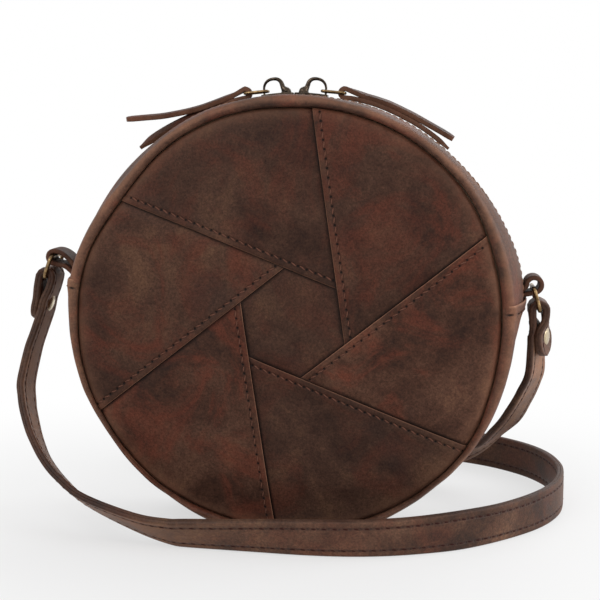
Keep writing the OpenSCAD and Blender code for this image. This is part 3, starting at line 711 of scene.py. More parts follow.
def front_blade(k):
    """One blade, laid out in rows beside its own lap, from under the blade before it to the rim."""
    base, d, w = corner(k + 1), along_lap(k), across_lap(k)
    tucked, row_step, cols = 1.6, 1.6, 84
    first = lambda row: (0.5 * row - tucked) / (math.sqrt(3) / 2)
    # The last row is the one where the rim leaves nothing of the blade.
    low, high = EDGE_ROWS[-1], 140.0
    while high - low > 0.01:
        mid = (low + high) / 2
        low, high = (mid, high) if to_rim(base + w * mid, d) > first(mid) + 0.6 else (low, mid)
    inner = np.linspace(EDGE_ROWS[-1], low, int((low - EDGE_ROWS[-1]) / row_step) + 2)[1:]
    rows = np.concatenate([EDGE_ROWS, inner])
    t = 1 - (1 - np.linspace(0, 1, cols)) ** 1.25
    x, v = np.empty((len(rows), cols)), np.empty((len(rows), cols))
    for j, row in enumerate(rows):
        s0, s1 = first(row), to_rim(base + w * row, d)
        run = base + w * row + d * (s0 + (s1 - s0) * t)[:, None]
        x[j], v[j] = run[:, 0], run[:, 1]
    along = (np.stack([x, v], -1) - base) @ d
    own = (np.stack([x, v], -1) - base) @ w
    points = front_place(x, v, blade_height(x, v, k))
    following = (np.stack([x, v], -1) - base) @ across_lap(k + 1)
    # The cut edge is rubbed paler. The paler band towards the rim is a painted highlight, and the dark band where the
    # next blade lies on this one is a painted shadow.
    wear_and_painted_light = 0.9 * (1 - step(0.0, 0.35, own)) + 0.04 * (1 - step(0.5, 5.0, own))
    wear_and_painted_light = wear_and_painted_light + 0.26 * step(0.92, 1.0, np.hypot(x, v) / PANEL_R) - 0.9 * step(-1.5, -0.1, following)
    seam = np.stack([(along - LAP_START) / LAP_PITCH, own], -1)
    name = "front_blade_%d" % (k + 1)
    obj = make(name + "_leather", points, grid_faces(len(rows), cols), blade_hides[k], seam, wear_and_painted_light, False)
    skin(obj, BLADE_WALL, "leather", name)


def front_hexagon():
    """The centre piece, which reaches a little way under the six blades."""
    rings, sides, reach = 26, 16, 1.09
    rim = [corner(k) + (corner(k + 1) - corner(k)) * i / sides - HEX_CENTRE for k in range(6) for i in range(sides)]
    points = np.array([HEX_CENTRE] + [HEX_CENTRE + p * (j / rings * reach) for j in range(1, rings + 1) for p in rim])
    x, v = points[:, 0], points[:, 1]
    gap = np.max([(points - corner(k)) @ across_lap(k) for k in range(6)], axis=0)
    height = dome(x, v) + swell(x, v, 2.0) - pressed(gap)
    # A painted shadow darkens the hexagon just beside the edges of the blades that lie on it.
    wear_and_painted_light = -0.9 * step(-1.5, -0.1, gap)
    obj = make("front_hexagon_leather", front_place(x, v, height), disc_faces(rings, len(rim)), hexagon_hide,
               wear_and_painted_light=wear_and_painted_light, closed=False)
    skin(obj, BLADE_WALL, "leather", "front_hexagon")


def lap_stitches():
    rows = []
    for k in range(6):
        base, d, w = corner(k + 1), along_lap(k), across_lap(k)
        start = base + w * LAP_ROW
        at = LAP_START + LAP_PITCH * (np.arange(60) + 0.5)
        at = at[at < to_rim(start, d) - 2.0]
        where = lambda s: front_place(*(start + d * s[:, None]).T, blade_height(*(start + d * s[:, None]).T, k))
        here, ahead = where(at), where(at + 0.5)
        way = unit(ahead - here)
        across = np.array([w[0], 0, w[1]])
        out = unit(np.cross(np.broadcast_to(across, way.shape), way))
        out = out * np.where(out[:, 1:2] > 0, -1, 1)
        rows.append((here, unit(way + 0.32 * across), out))
    sew("lap_stitches", rows, 2.8, 0.66, brown_thread, 3)


def back_panel():
    rings = np.concatenate([np.linspace(1.2, 90, 60), [91.8, 93.4, 94.6, 95.5, 96.1, 96.5]])
    spokes = 240
    x, v = disc_places(rings, spokes)
    height = dome(x, v) + 1.2 * swell(x, v, 7.0)
    points = np.stack([x, HALF_GUSSET + height, AXIS_Z + v], -1)
    # Paler towards the rim: a painted highlight on the panel's turned edge.
    wear_and_painted_light = 0.3 * step(0.94, 1.0, np.hypot(x, v) / PANEL_R)
    obj = make("back_panel_leather", points, disc_faces(len(rings), spokes), back_hide, wear_and_painted_light=wear_and_painted_light, closed=False)
    skin(obj, 1.5, "leather", "back_panel")


# ---------------------------------------------------------------- gusset and zip bands

# Section from the groove at the front seam to the flat, as (radius, distance from the middle).
ROLL = [(96.9, 28.2), (96.9, 29.4), (97.2, 30.8), (98.2, 31.6), (99.5, 31.7), (100.7, 30.9),
        (101.5, 29.3), (102.0, 27.0), (102.2, 22.5), (102.4, 17.0)]
# The rest of a zip band's section, from the flat to its edge beside the zip.
BAND_EDGE = [(102.5, 12.0), (102.5, 9.6), (102.35, 8.2), (101.95, 7.55), (101.4, 7.6), (100.9, 8.3)]

# How far the padded gusset stands out or in, in mm, by the angle from the top.
FULLNESS = np.array([(-180, 0), (-112, 0), (-100, -0.3), (-92, 0.2), (-86, 0.8), (-79, 1.1), (-70, 0.8), (-55, 0.2),
                     (-18, 0), (-11, -0.8), (11, -0.8), (18, 0), (30, 0.5), (43, 1.1), (50, 1.6), (60, 2.5),
                     (68, 3.4), (74, 4.2), (80, 4.2), (85, 3.4), (88, 2.7), (92, 1.2), (97, -0.5), (102, -1.1),
                     (112, 0), (180, 0)])
EVEN_FULLNESS = even_table(FULLNESS[:, 0], FULLNESS[:, 1], 11)


def fullness(angle, y):
    """The gusset's bulge at an angle, none at the seams and full towards the middle."""
    share = np.interp(np.abs(y), [8, 12, 17, 22.5, 27, 30], [1, 1, 0.85, 0.55, 0.15, 0])
    return np.interp(turned(angle), TURNS, EVEN_FULLNESS) * share


def wall_shift(angle, r, y):
    """How far a place on the gusset stands out from the round one."""
    seam, roll = (np.interp(turned(angle), TURNS, table) for table in (SEAM_SHIFT, ROLL_SHIFT))
    return fullness(angle, y) + (seam + (roll - seam) * step(97.2, 101.6, r)) * (1 - step(-25, -12, y))


def chain_rise(angle):
    """The zip's chain rises with the gusset beyond the sliders' reach, but less."""
    return np.interp(angle, [44, 50, 55, 60, 65, 70, 75, 80, 85], [0, 0.7, 1.15, 1.4, 1.55, 1.8, 2.0, 2.0, 1.5])


# The seeds of the leather's waves, at the front and at the back.
FRONT_WAVES, BACK_WAVES = 1.0, 4.0


def pressed_flat(points):
    """The floor presses the lowest leather flat, with a soft edge to the flat."""
    z = points[..., 2]
    points[..., 2] = 0.5 * (z + np.sqrt(z * z + 0.5))
    return points


def soft_wall(angle, r, y, seed):
    """A place on the gusset with its slight waves and the small puckers beside the seam."""
    r = r + wall_shift(angle, r, y)
    p = around(angle, r, y)
    near_seam = step(20, 31, np.abs(y))
    mid = 1 - step(14, 29, np.abs(y))
    wave = 0.42 * rough(p, 30, seed) * (0.4 + 0.6 * mid) + 0.2 * rough(p, 9, seed + 5) * near_seam
    sideways = np.sign(y) * 0.22 * rough(p, 12, seed + 9) * near_seam
    p = p + outward(angle) * wave[..., None]
    p[..., 1] += sideways
    return p


def gusset_bottom():
    """The strip below the zip, with a turned edge at each end that is sewn over the zip bands."""
    half = curve_through(ROLL + [(102.5, 11.0), (102.5, 0.0)], 34)
    section = np.vstack([half * [1, -1], (half * [1, 1])[::-1][1:]])
    angles = np.concatenate([ZIP_RIGHT + np.array([0, 0.12, 0.35, 0.7, 1.2, 1.8]),
                             np.linspace(ZIP_RIGHT + 2.5, 360 + ZIP_LEFT - 2.5, 236),
                             360 + ZIP_LEFT - np.array([1.8, 1.2, 0.7, 0.35, 0.12, 0])])
    a, r = np.meshgrid(angles, section[:, 0], indexing="ij")
    y = np.broadcast_to(section[:, 1], r.shape)
    from_end = arc_length(np.minimum(a - ZIP_RIGHT, 360 + ZIP_LEFT - a), BAG_R)
    lip = 0.95 * (1 - step(1.5, 9.0, from_end)) - 0.5 * np.clip(1 - from_end / 0.8, 0, 1) ** 2
    lip = lip + 1.3 * np.exp(-(y / 13) ** 2) * (1 - step(0.0, 7.0, from_end))
    p = pressed_flat(soft_wall(a, r + lip * step(96.9, 99.5, r), y, FRONT_WAVES))
    # The turned ends are rubbed paler; the paler band on the roll beside the seam is a painted highlight.
    wear_and_painted_light = 0.5 * (1 - step(0.1, 1.0, from_end)) + 0.3 * step(98.0, 100.0, r) * step(28.5, 31.0, np.abs(y))
    seam = np.stack([(y + 10 * END_PITCH) / END_PITCH, from_end], -1)
    obj = make("gusset_leather", p, grid_faces(*r.shape), gusset_hide, seam, wear_and_painted_light, False)
    skin(obj, 1.5, "leather", "gusset_bottom")
    rows = []
    at = (np.arange(-7, 7) + 0.5) * END_PITCH
    for edge, way in ((ZIP_RIGHT, 1), (360 + ZIP_LEFT, -1)):
        angle = np.full_like(at, edge + arc_angle(way * END_ROW, BAG_R))
        here = soft_wall(angle, np.full_like(at, BAG_R + 0.75), at, FRONT_WAVES)
        out = unit(outward(angle))
        rolled = around(angle, np.interp(np.abs(at), half[::-1, 1], half[::-1, 0]), at) - around(angle, BAG_R, at)
        here = here + rolled + out * (0.5 * np.exp(-(at / 13) ** 2))[:, None]
        rows.append((here, np.tile([0.0, 1.0, 0.0], (len(at), 1)), out))
    sew("gusset_end_stitches", rows, 2.9, 0.8, brown_thread, 5)


def zip_band(side, word):
    """One band between its panel and the zip, and the places of its stitches."""
    waves = FRONT_WAVES if side < 0 else BACK_WAVES
    section = curve_through(ROLL + BAND_EDGE, 40) * [1, side]
    angles = np.linspace(ZIP_LEFT - 0.6, ZIP_RIGHT + 0.6, 232)
    a, r = np.meshgrid(angles, section[:, 0], indexing="ij")
    y = np.broadcast_to(section[:, 1], r.shape)
    p = soft_wall(a, r, y, waves)
    across = np.abs(y) - ZIP_SLOT / 2
    # The edge beside the zip is rubbed paler; the paler band on the roll beside the seam is a painted highlight.
    wear_and_painted_light = 0.4 * (1 - step(0.2, 1.0, across)) + 0.3 * step(98.0, 100.0, r) * step(28.5, 31.0, np.abs(y))
    seam = np.stack([arc_length(a, BAG_R) / BAND_PITCH, across], -1)
    node = "zip_band_" + word
    obj = make(node + "_leather", p, grid_faces(*r.shape), band_hide, seam, wear_and_painted_light, False)
    skin(obj, 1.2, "leather", node)
    step_angle = arc_angle(BAND_PITCH, BAG_R)
    at = np.arange(math.ceil(ZIP_LEFT / step_angle) + 1, int(ZIP_RIGHT / step_angle)) + 0.5
    angle = arc_angle(at * BAND_PITCH, BAG_R)
    angle = angle[(angle > ZIP_LEFT + 1) & (angle < ZIP_RIGHT - 1)]
    row_y = np.full_like(angle, side * (ZIP_SLOT / 2 + BAND_ROW))
    here, ahead = (soft_wall(angle + more, np.full_like(angle, BAG_R + 0.02), row_y, waves) for more in (0, 0.3))
    return here, unit(ahead - here), unit(outward(angle))


# ---------------------------------------------------------------- zip

TAPE_GAP, TAPE_HALF = 0.15, 0.3
TAPE_OUT_R = BAG_R - LEATHER - TAPE_GAP
TAPE_R = TAPE_OUT_R - TAPE_HALF
ZIP_STOP = 4.0
TOOTH_PITCH = 2.3
TOOTH_HALF = 1.4


def zip_tape(side, word):
    """The tape of one side, woven, with its edge inside the teeth and the rest under the band."""
    ys = np.array([1.55, 1.7, 2.4, 3.2, 4.0, 5.0, 6.0, 7.0, 8.0, 10.0, 13.3])
    rs = np.array([0.0, 0.06, 0.05, 0.0, -0.04, 0.0, 0.03, 0.0, 0, -0.1, -0.2]) + TAPE_OUT_R
    angles = np.linspace(ZIP_LEFT + 0.8, ZIP_RIGHT - 0.8, 220)
    a, r = np.meshgrid(angles, rs, indexing="ij")
    y = np.broadcast_to(ys * side, r.shape)
    under_band = np.interp(ys, [5.8, 8.5], [0, 1])
    p = around(a, r + chain_rise(a) * (1 - under_band) + np.maximum(fullness(a, y), -0.1) * under_band, y)
    seam = np.stack([arc_length(a, BAG_R), np.abs(y)], -1)
    node = "zip_tape_" + word
    obj = make(node + "_cloth", p, grid_faces(*r.shape), tape_cloth, seam, closed=False)
    skin(obj, 0.55, "tape", node)


def tooth_shape():
    """One tooth: two legs clamped over the tape and a head with a rounded nose. z is outwards, y inwards."""
    outline = [(-0.28, -0.7), (0.28, -0.7), (0.47, -0.25), (0.47, 0.75), (0.36, 1.1), (0.72, 1.5),
               (0.76, 2.5), (0.6, 2.7), (-0.6, 2.7), (-0.76, 2.5), (-0.72, 1.5), (-0.36, 1.1),
               (-0.47, 0.75), (-0.47, -0.25)]
    n = len(outline)
    levels = [(-TOOTH_HALF, 0.8), (-1.2, 1.0), (1.2, 1.0), (TOOTH_HALF, 0.8)]
    points = [(x * s, (y - 1) * (0.5 + s / 2) + 1, z) for z, s in levels for x, y in outline]
    faces = [tuple(reversed(range(n))), tuple(range(3 * n, 4 * n))]
    for j in range(3):
        for i in range(n):
            k = (i + 1) % n
            faces.append((j * n + i, j * n + k, (j + 1) * n + k, (j + 1) * n + i))
    return make("tooth_shape", points, faces, tooth_brass)


def row_split(s):
    """How far each row keeps from the middle, where the sliders at rest hold the rows apart."""
    return 1.7 * (1 - step(4.6, 11.5, np.abs(s)))


def zip_teeth(side, word, start, shape):
    """One row of teeth; start shifts it by a share of the pitch."""
    pitch = arc_angle(TOOTH_PITCH, TAPE_R)
    angle = np.arange(ZIP_LEFT + ZIP_STOP + pitch * (1 + start), ZIP_RIGHT - ZIP_STOP - pitch + 1e-6, pitch)
    here = around(angle, TAPE_R + chain_rise(angle), side * row_split(arc_length(angle, TAPE_R)))
    out = unit(outward(angle))
    inward = np.tile([0.0, float(side), 0.0], (len(angle), 1))
    way = np.cross(inward, out)
    node = "zip_teeth_" + word
    obj = repeat(node + "_row", shape_row, here, way, out, {"Shape": shape, "Size": 1.0, "Finish": tooth_brass})
    place(obj, "bag", "brass", node)


# ---------------------------------------------------------------- sliders, links and rings

SLIDER_GAP, SLIDER_HALF, PLATE = 0.4, 7.5, 1.1
SLIDER_MID = arc_angle(SLIDER_GAP + SLIDER_HALF, BAG_R)
PLATE_TOP = TAPE_R + TOOTH_HALF + METAL_GAP + PLATE


def slider_plates(word):
    """The CAD slider's own shape with its sharp edges rounded, without the plain wire of its crown."""
    node = "slider_" + word
    bm = bmesh.new()
    bm.from_mesh(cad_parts[node].data)
    bmesh.ops.remove_doubles(bm, verts=bm.verts, dist=2e-6)
    wire = [v for v in bm.verts if math.hypot(v.co.x / MM, v.co.z / MM - AXIS_Z) > PLATE_TOP + 0.03]
    bmesh.ops.delete(bm, geom=wire, context="VERTS")
    bmesh.ops.holes_fill(bm, edges=[e for e in bm.edges if e.is_boundary], sides=0)
    bmesh.ops.dissolve_limit(bm, angle_limit=math.radians(1.5), verts=bm.verts, edges=bm.edges)
    mesh = bpy.data.meshes.new("zip_" + node)
    bm.to_mesh(mesh)
    bm.free()
    obj = in_scene("zip_" + node, mesh)
    mesh.materials.clear()
    mesh.materials.append(dark_brass)
    edge = obj.modifiers.new("edge", "BEVEL")
    edge.width = 0.16 * MM
    edge.segments = 2
    edge.limit_method = "ANGLE"
    edge.angle_limit = math.radians(38)
    edge.use_clamp_overlap = True
    place(settle(obj), node, "brass", node)


# The crown over the slider's plate: along the zip, above the plate, half its thickness, half its width.
CROWN = [(-3.7, -0.4, 2.6, 2.6), (-3.65, 0.7, 2.45, 2.5), (-3.2, 1.55, 1.8, 2.0), (-2.6, 2.5, 1.2, 1.55),
         (-2.2, 3.8, 1.05, 1.35), (-1.65, 5.3, 0.95, 1.25), (-0.3, 6.45, 0.85, 1.15), (1.8, 6.75, 0.75, 1.05),
         (3.9, 6.3, 0.7, 0.95), (5.4, 5.1, 0.62, 0.9), (6.15, 3.6, 0.56, 0.85), (6.35, 2.2, 0.52, 0.85),
         (6.35, 0.8, 0.5, 0.85), (6.35, -0.4, 0.5, 0.85)]


def crown(side, word):
    """The arch that holds the pull, thick and flared at its inner foot and thin at its outer end."""
    row = curve_through(CROWN, 72)
    ahead = unit(np.gradient(row[:, :2], axis=0))
    off = np.stack([-ahead[:, 1], ahead[:, 0]], -1)
    a = np.linspace(0, 2 * math.pi, 20, endpoint=False)
    c, s = (np.sign(wave) * np.abs(wave) ** 0.8 for wave in (np.cos(a), np.sin(a)))
    local = row[:, None, :2] + off[:, None] * (row[:, 2:3] * c)[..., None]
    y = row[:, 3:4] * s
    m = math.radians(SLIDER_MID)
    x, up = local[..., 0], PLATE_TOP + local[..., 1]
    points = np.stack([side * (x * math.cos(m) + up * math.sin(m)), y,
                       AXIS_Z - x * math.sin(m) + up * math.cos(m)], -1)
    n = len(a)
    faces = grid_faces(len(row), n, False, True) + [tuple(range(n)), tuple(range((len(row) - 1) * n, len(row) * n))]
    place(make("zip_crown_%s" % word, points, faces, dark_brass), "slider_%s" % word, "brass")


def wire_loop(name, path, radius, node):
    """A closed loop of round brass wire along a path, on the body of its node's name."""
    path = np.asarray(path, float)
    n, m = len(path), 14
    ahead = unit(np.roll(path, -1, 0) - np.roll(path, 1, 0))
    normal = unit(np.cross(path[n // 4] - path[0], path[n // 2] - path[0]))
    side = unit(np.cross(ahead, normal))
    a = np.linspace(0, 2 * math.pi, m, endpoint=False)
    points = path[:, None] + radius * (np.cos(a)[None, :, None] * side[:, None]
                                       + np.sin(a)[None, :, None] * normal)
    place(make(name, points, grid_faces(n, m, True, True), antique_brass), node, "brass", node)


def loop_path(start, way, length, half, bend):
    """A rounded rectangle from start along way, and to both sides along the bag's axis."""
    steps = 12
    way, side = unit(np.asarray(way, float)), np.array([0.0, 1.0, 0.0])
    out = []
    for cx, cy, a0 in ((length - bend, half - bend, 0), (bend, half - bend, 90),
                       (bend, -half + bend, 180), (length - bend, -half + bend, 270)):
        for i in range(steps + 1):
            a = math.radians(a0 + 90 * i / steps)
            out.append((cx + bend * math.cos(a), cy + bend * math.sin(a)))
    ring = evenly(np.array(out + out[:1]), 97)[:-1]
    return start + ring[:, :1] * way + ring[:, 1:] * side


# The pull link starts beside the crown's outer foot, just over the plate, and its outer bar carries the thong.
CROWN_PLACE, CROWN_R, CROWN_WIRE_R, CROWN_FOOT_GAP = 1.2, 5.2, 0.8, 0.125
LINK_LENGTH, LINK_HALF, LINK_BEND, LINK_WIRE_R, LINK_LIFT = 10.5, 3.25, 1.3, 0.7, 0.75
THONG_PLY = 1.1
LINK_IN_ANGLE = arc_angle(SLIDER_GAP + SLIDER_HALF + CROWN_PLACE + CROWN_R - CROWN_WIRE_R - LINK_WIRE_R
                          - CROWN_FOOT_GAP, BAG_R + PLATE)
LINK_IN = polar(LINK_IN_ANGLE, PLATE_TOP + LINK_WIRE_R + LINK_LIFT)
LINK_OUT_R = TAPE_R + TOOTH_HALF + LEATHER_GAP + 2 * THONG_PLY + METAL_GAP + LINK_WIRE_R
LINK_WAY = unit(polar(LINK_IN_ANGLE + arc_angle(LINK_LENGTH, LINK_OUT_R), LINK_OUT_R) - LINK_IN)
LINK_OUT = LINK_IN + LINK_WAY * LINK_LENGTH
# The strap rings, by side: the upper bar, the tilt of the hanging ring and the lower bar.
RING_DROP, RING_HALF, RING_BEND, RING_WIRE_R = 10.5, 10.4, 2.6, 0.95
RING_BAR = {-1: polar(77.1, BAG_R + 15.4), 1: polar(82.9, BAG_R + 9.0)}
RING_TILT = {-1: 20.0, 1: 16.0}
RING_LOW = {side: RING_BAR[side] + RING_DROP * down_way(RING_TILT[side]) for side in (-1, 1)}


def flat(side, p, y=0.0):
    """A place of the right-hand drawing (x, height over the axis), mirrored for side -1."""
    p = np.asarray(p, float)
    return np.stack(np.broadcast_arrays(side * p[..., 0], y, AXIS_Z + p[..., 1]), -1)


def pull_links():
    for side, word in SIDES:
        start = flat(side, LINK_IN)
        way = flat(side, LINK_OUT) - start
        wire_loop("pull_link_" + word, loop_path(start, way, LINK_LENGTH, LINK_HALF, LINK_BEND), LINK_WIRE_R,
                  "link_" + word)


def strap_rings():
    for side, word in SIDES:
        start = flat(side, RING_BAR[side])
        way = flat(side, RING_LOW[side]) - start
        wire_loop("strap_ring_" + word, loop_path(start, way, RING_DROP, RING_HALF, RING_BEND), RING_WIRE_R,
                  "ring_" + word)


# ---------------------------------------------------------------- strips of leather

def strip(name, line, width_way, half_width, half_thick, finish, wear_edge, painted_light=0.0, pitch=1.0, start=0.0,
          groove=0.0, plies=1):
    """A flat strip swept along a line. Its cut edges are rounded and show the line between its plies.
    wear_edge rubs or darkens its edges and the given painted light pales its faces; groove sinks two lines
    along it, where its stitches lie, and pitch and start place their holes."""
    line, n = np.asarray(line, float), len(line)
    ahead = unit(np.gradient(line, axis=0))
    w = unit(width_way - (width_way * ahead).sum(-1, keepdims=True) * ahead)
    face = np.cross(ahead, w)
    hw, ht = np.broadcast_to(half_width, n), np.broadcast_to(half_thick, n)
    upper = [(1.0, 0.42), (0.985, 0.72), (0.945, 0.93), (0.87, 1.0), (0.78, 1.0), (0.71, 1 - groove), (0.64, 1.0),
             (0.4, 1.03), (0.0, 1.05), (-0.4, 1.03), (-0.64, 1.0), (-0.71, 1 - groove), (-0.78, 1.0),
             (-0.87, 1.0), (-0.945, 0.93), (-0.985, 0.72), (-1.0, 0.42)]
    dent = [(-1.0, 0.1), (-0.975, 0.0), (-1.0, -0.1)] if plies > 1 else [(-1.005, 0.0)]
    section = np.array(upper + dent + [(a, -b) for a, b in reversed(upper)] + [(-a, -b) for a, b in dent])
    m = len(section)
    points = (line[:, None] + section[None, :, :1] * (hw[:, None, None] * w[:, None])
              + section[None, :, 1:] * (ht[:, None, None] * face[:, None]))
    run = run_along(line) + start
    seam = np.stack(np.broadcast_arrays(run[:, None] / pitch, section[None, :, 0] * hw.max()), -1)
    # The edges are rubbed paler or darkened, and the faces are made paler by painted light.
    wear_and_painted_light = (wear_edge * step(0.93, 1.0, np.abs(section[:, 0]))
            + np.broadcast_to(painted_light, n)[:, None] * (1 - step(0.85, 0.95, np.abs(section[:, 0]))))
    ends = [tuple(range(m)), tuple(range((n - 1) * m, n * m))]
    return make(name, points, grid_faces(n, m, False, True) + ends, finish, seam, wear_and_painted_light)


# The strap's route, right, back and up, as shares of the bag's radius. The last two values are the direction
# of its width in degrees: the tilt from straight up, and the turn of that tilt from straight back.
ROUTE = np.array([
    (-1.206, -0.028, 0.88, 90.8, 3.3), (-1.228, -0.062, 0.791, 90.3, 3.4), (-1.241, -0.127, 0.661, 90.1, 1.8),
    (-1.225, -0.18, 0.578, 90.6, -3.1), (-1.192, -0.239, 0.497, 92.5, -5.9), (-1.148, -0.298, 0.419, 95, -9.6),
    (-1.089, -0.351, 0.341, 99.1, -13.1), (-1.002, -0.405, 0.265, 111, -6.3), (-0.876, -0.454, 0.189, 117.1, -3.4),
    (-0.631, -0.505, 0.108, 128.4, -3.2), (-0.45, -0.53, 0.078, 141.9, -1.1), (-0.271, -0.545, 0.062, 147.7, -0.6),
    (-0.09, -0.555, 0.06, 154.3, 0.4), (0.084, -0.562, 0.055, 159.9, 0.5), (0.254, -0.559, 0.045, 162.6, 1),
    (0.42, -0.535, 0.03, 164.3, 0.7), (0.59, -0.48, 0.015, 167.3, -0.5), (0.768, -0.387, 0.005, 173.2, 0.2),
    (0.948, -0.247, 0, 170, 0), (1.118, -0.045, 0, 176, 0), (1.222, 0.17, 0, 180, 0), (1.262, 0.4, 0, 180, 0),
    (1.245, 0.61, 0, 180, 0), (1.185, 0.79, 0, 180, 0), (1.075, 0.95, 0, 180, 0), (0.9, 1.1, 0, 180, 0),
    (0.63, 1.225, 0, 180, 0), (0.25, 1.3, 0, 180, 0), (-0.13, 1.31, 0, 180, 0), (-0.45, 1.26, 0, 180, 0),
    (-0.66, 1.14, 0, 180, 0), (-0.68, 0.97, 0, 180, 0), (-0.48, 0.84, 0.03, 180, 0), (-0.12, 0.78, 0.06, 180, 0),
    (0.2, 0.74, 0.086, 174, 0), (0.49, 0.69, 0.115, 160, 0), (0.705, 0.61, 0.175, 138, 6),
    (0.88, 0.488, 0.268, 111, -1.5), (0.985, 0.322, 0.4, 93, 31.7), (1.041, 0.205, 0.522, 92.5, 29.6),
    (1.079, 0.117, 0.63, 94, 25.8), (1.099, 0.055, 0.722, 97, 22.1)])
HALF_STRAP = STRAP_WIDTH / 2
# Half the strap's thickness, half that of a fold beyond the ring, and how far the fold comes back.
STACK, FOLD_HALF, FOLD_BACK = 1.75, 1.8, 22.0
FLOOR_GAP = 0.12
# A length below each ring; the strap finds the place this far down, which nothing uses.
BLEND_LENGTH = 11.0
# From the strap's middle to the face of its leather and to the middle of its thread, and from its tip to the thread.
STRAP_FACE, THREAD_HEIGHT, THREAD_END = 1.66, 1.36, 5.5
# Each rivet's place on the fold, as a share of its length, and how far its caps are lifted.
RIVET_PLACE, CAP_LIFT = 0.57, 0.95
STRAND_LEAN = {-1: 14.0, 1: 3.0}
# How far the hanging strands turn towards the viewer below their rings, in degrees.
STRAND_TURN = {-1: 4.0, 1: 22.0}


def strand_ways(side):
    """The way down a hanging strand, and the way off its outer face."""
    d = down_way(STRAND_LEAN[side])
    return d, np.array([-d[1], d[0]])


def strand_turn(side, down):
    """How far the strap is turned about its own line at a distance below the ring's lower bar."""
    return STRAND_TURN[side] * step(2.0, 14.0, down)


def fold_line(side):
    """The strap's turned-back end, from its tip round the ring's lower bar and down the strand."""
    wrap = RING_WIRE_R + LEATHER_GAP + STACK
    down = [(FOLD_BACK, FOLD_HALF), (17.0, FOLD_HALF), (11.0, FOLD_HALF), (5.5, FOLD_HALF + 0.75 * (wrap - FOLD_HALF))]
    turn = [(-wrap * math.sin(a), wrap * math.cos(a)) for a in np.linspace(0, math.pi, 13)]
    q = np.array(down + turn + [(p, -r) for p, r in down[:0:-1]])
    d, n = strand_ways(side)
    turn = strand_turn(side, q[:, :1])
    drawn = flat(side, RING_LOW[side] + q[:, :1] * d + q[:, 1:] * np.cos(np.radians(turn)) * n)
    drawn[:, 1] -= side * (q[:, 1] * np.sin(np.radians(turn[:, 0])))
    return np.concatenate([drawn, np.full((len(q), 1), 90.0), turn], 1)


def strap():
    """The whole strap from fold to fold, as a left and a right half."""
    whole = np.vstack([fold_line(-1), ROUTE * [BAG_R, BAG_R, BAG_R, 1, 1], fold_line(1)[::-1]])
    length = np.linalg.norm(np.diff(whole[:, :3], axis=0), axis=1).sum()
    line = curve_through(whole, int(length / 1.6))
    ahead = unit(np.gradient(line[:, :3], axis=0))
    tilt, turn = np.radians(line[:, 3]), np.radians(line[:, 4])
    way = np.stack([np.sin(tilt) * np.sin(turn), np.sin(tilt) * np.cos(turn), np.cos(tilt)], -1)
    w = unit(way - (way * ahead).sum(-1, keepdims=True) * ahead)
    face = np.cross(ahead, w)
    need = HALF_STRAP * np.abs(w[:, 2]) + STACK * np.abs(face[:, 2]) + FLOOR_GAP
    line[:, 2] = np.maximum(line[:, 2], need)
    line = line[:, :3]
    run = run_along(line)
    total = run[-1]
    tip = np.minimum(run, total - run)
    half = HALF_STRAP * np.sqrt(np.clip(1 - (1 - np.clip(tip / HALF_STRAP, 0, 1)) ** 2, 0.01, 1))
    # The strands are painted paler below their folds, as painted light on their faces, the left one further down than
    # the right.
    painted_light = 0.5 * step(20, 34, run) * (1 - step(160, 230, run))
    painted_light = painted_light + 0.4 * step(20, 34, total - run) * (1 - step(60, 90, total - run))
    middle = int(np.argmax(line[:, 1]))
    for (side, word), part in zip(SIDES, (slice(0, middle + 1), slice(middle, None))):
        obj = strip("strap_%s_leather" % word, line[part], way[part], half[part], STRAP_FACE, strap_hide, -0.4,
                    painted_light[part], STRAP_PITCH, run[part][0], 0.06, 2)
        at = (np.arange(math.ceil(run[part][0] / STRAP_PITCH), int(run[part][-1] / STRAP_PITCH)) * STRAP_PITCH
              + STRAP_PITCH / 2)
        at = at[(at > THREAD_END) & (at < total - THREAD_END)]
        mid = values_at(at, run, line)
        w_at, f_at, a_at = (unit(values_at(at, run, ways)) for ways in (w, face, ahead))
        room = np.interp(at, run, half) / HALF_STRAP
        rows = [(mid + w_at * (across * room)[:, None] + f_at * out * THREAD_HEIGHT,
                 unit(a_at + 0.07 * w_at), f_at * out) for across in (-STRAP_ROW, STRAP_ROW) for out in (-1, 1)]
        thread = sew("strap_%s_stitches" % word, rows, 3.1, 0.95, maroon_thread, 11 + side, body=None)
        start = flat(side, RING_LOW[side]) * MM
        end = flat(side, RING_LOW[side] + BLEND_LENGTH * down_way(STRAND_LEAN[side])) * MM
        for piece in (obj, thread):
            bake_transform(piece)
        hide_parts("strap_outer", "strap_inner")


def rivets():
    """A rivet through each fold, capped on both faces, turned with the strand."""
    profile = [(0.0, 3.35), (1.6, 3.28), (3.1, 3.02), (4.2, 2.55), (4.8, 2.05), (5.0, 1.6), (4.85, 1.3),
               (4.4, 1.2), (1.2, 1.2)]
    section = np.array(profile + [(r, -z) for r, z in reversed(profile)])
    spokes = 40
    a = np.linspace(0, 2 * math.pi, spokes, endpoint=False)
    for side, word in SIDES:
        d, n = strand_ways(side)
        centre = flat(side, RING_LOW[side] + d * FOLD_BACK * RIVET_PLACE)
        away, up, back = flat(side, n) - flat(side, (0, 0)), flat(side, d) - flat(side, (0, 0)), np.array([0, 1.0, 0])
        turn = math.radians(strand_turn(side, FOLD_BACK * RIVET_PLACE))
        axis = away * math.cos(turn) - side * back * math.sin(turn)
        over = back * math.cos(turn) + side * away * math.sin(turn)
        heights = section[:, 1] + np.sign(section[:, 1]) * CAP_LIFT
        points = (centre + axis * heights[:, None, None]
                  + section[:, 0][:, None, None] * (np.cos(a)[None, :, None] * up + np.sin(a)[None, :, None] * over))
        obj = make("rivet_%s_caps" % word, points, grid_faces(len(section), spokes, False, True), cap_brass)
        turn_outwards(obj.data, 1e-6)
        smooth(obj.data, 50)
        place(obj, "bag", "brass", "rivet_%s" % word)


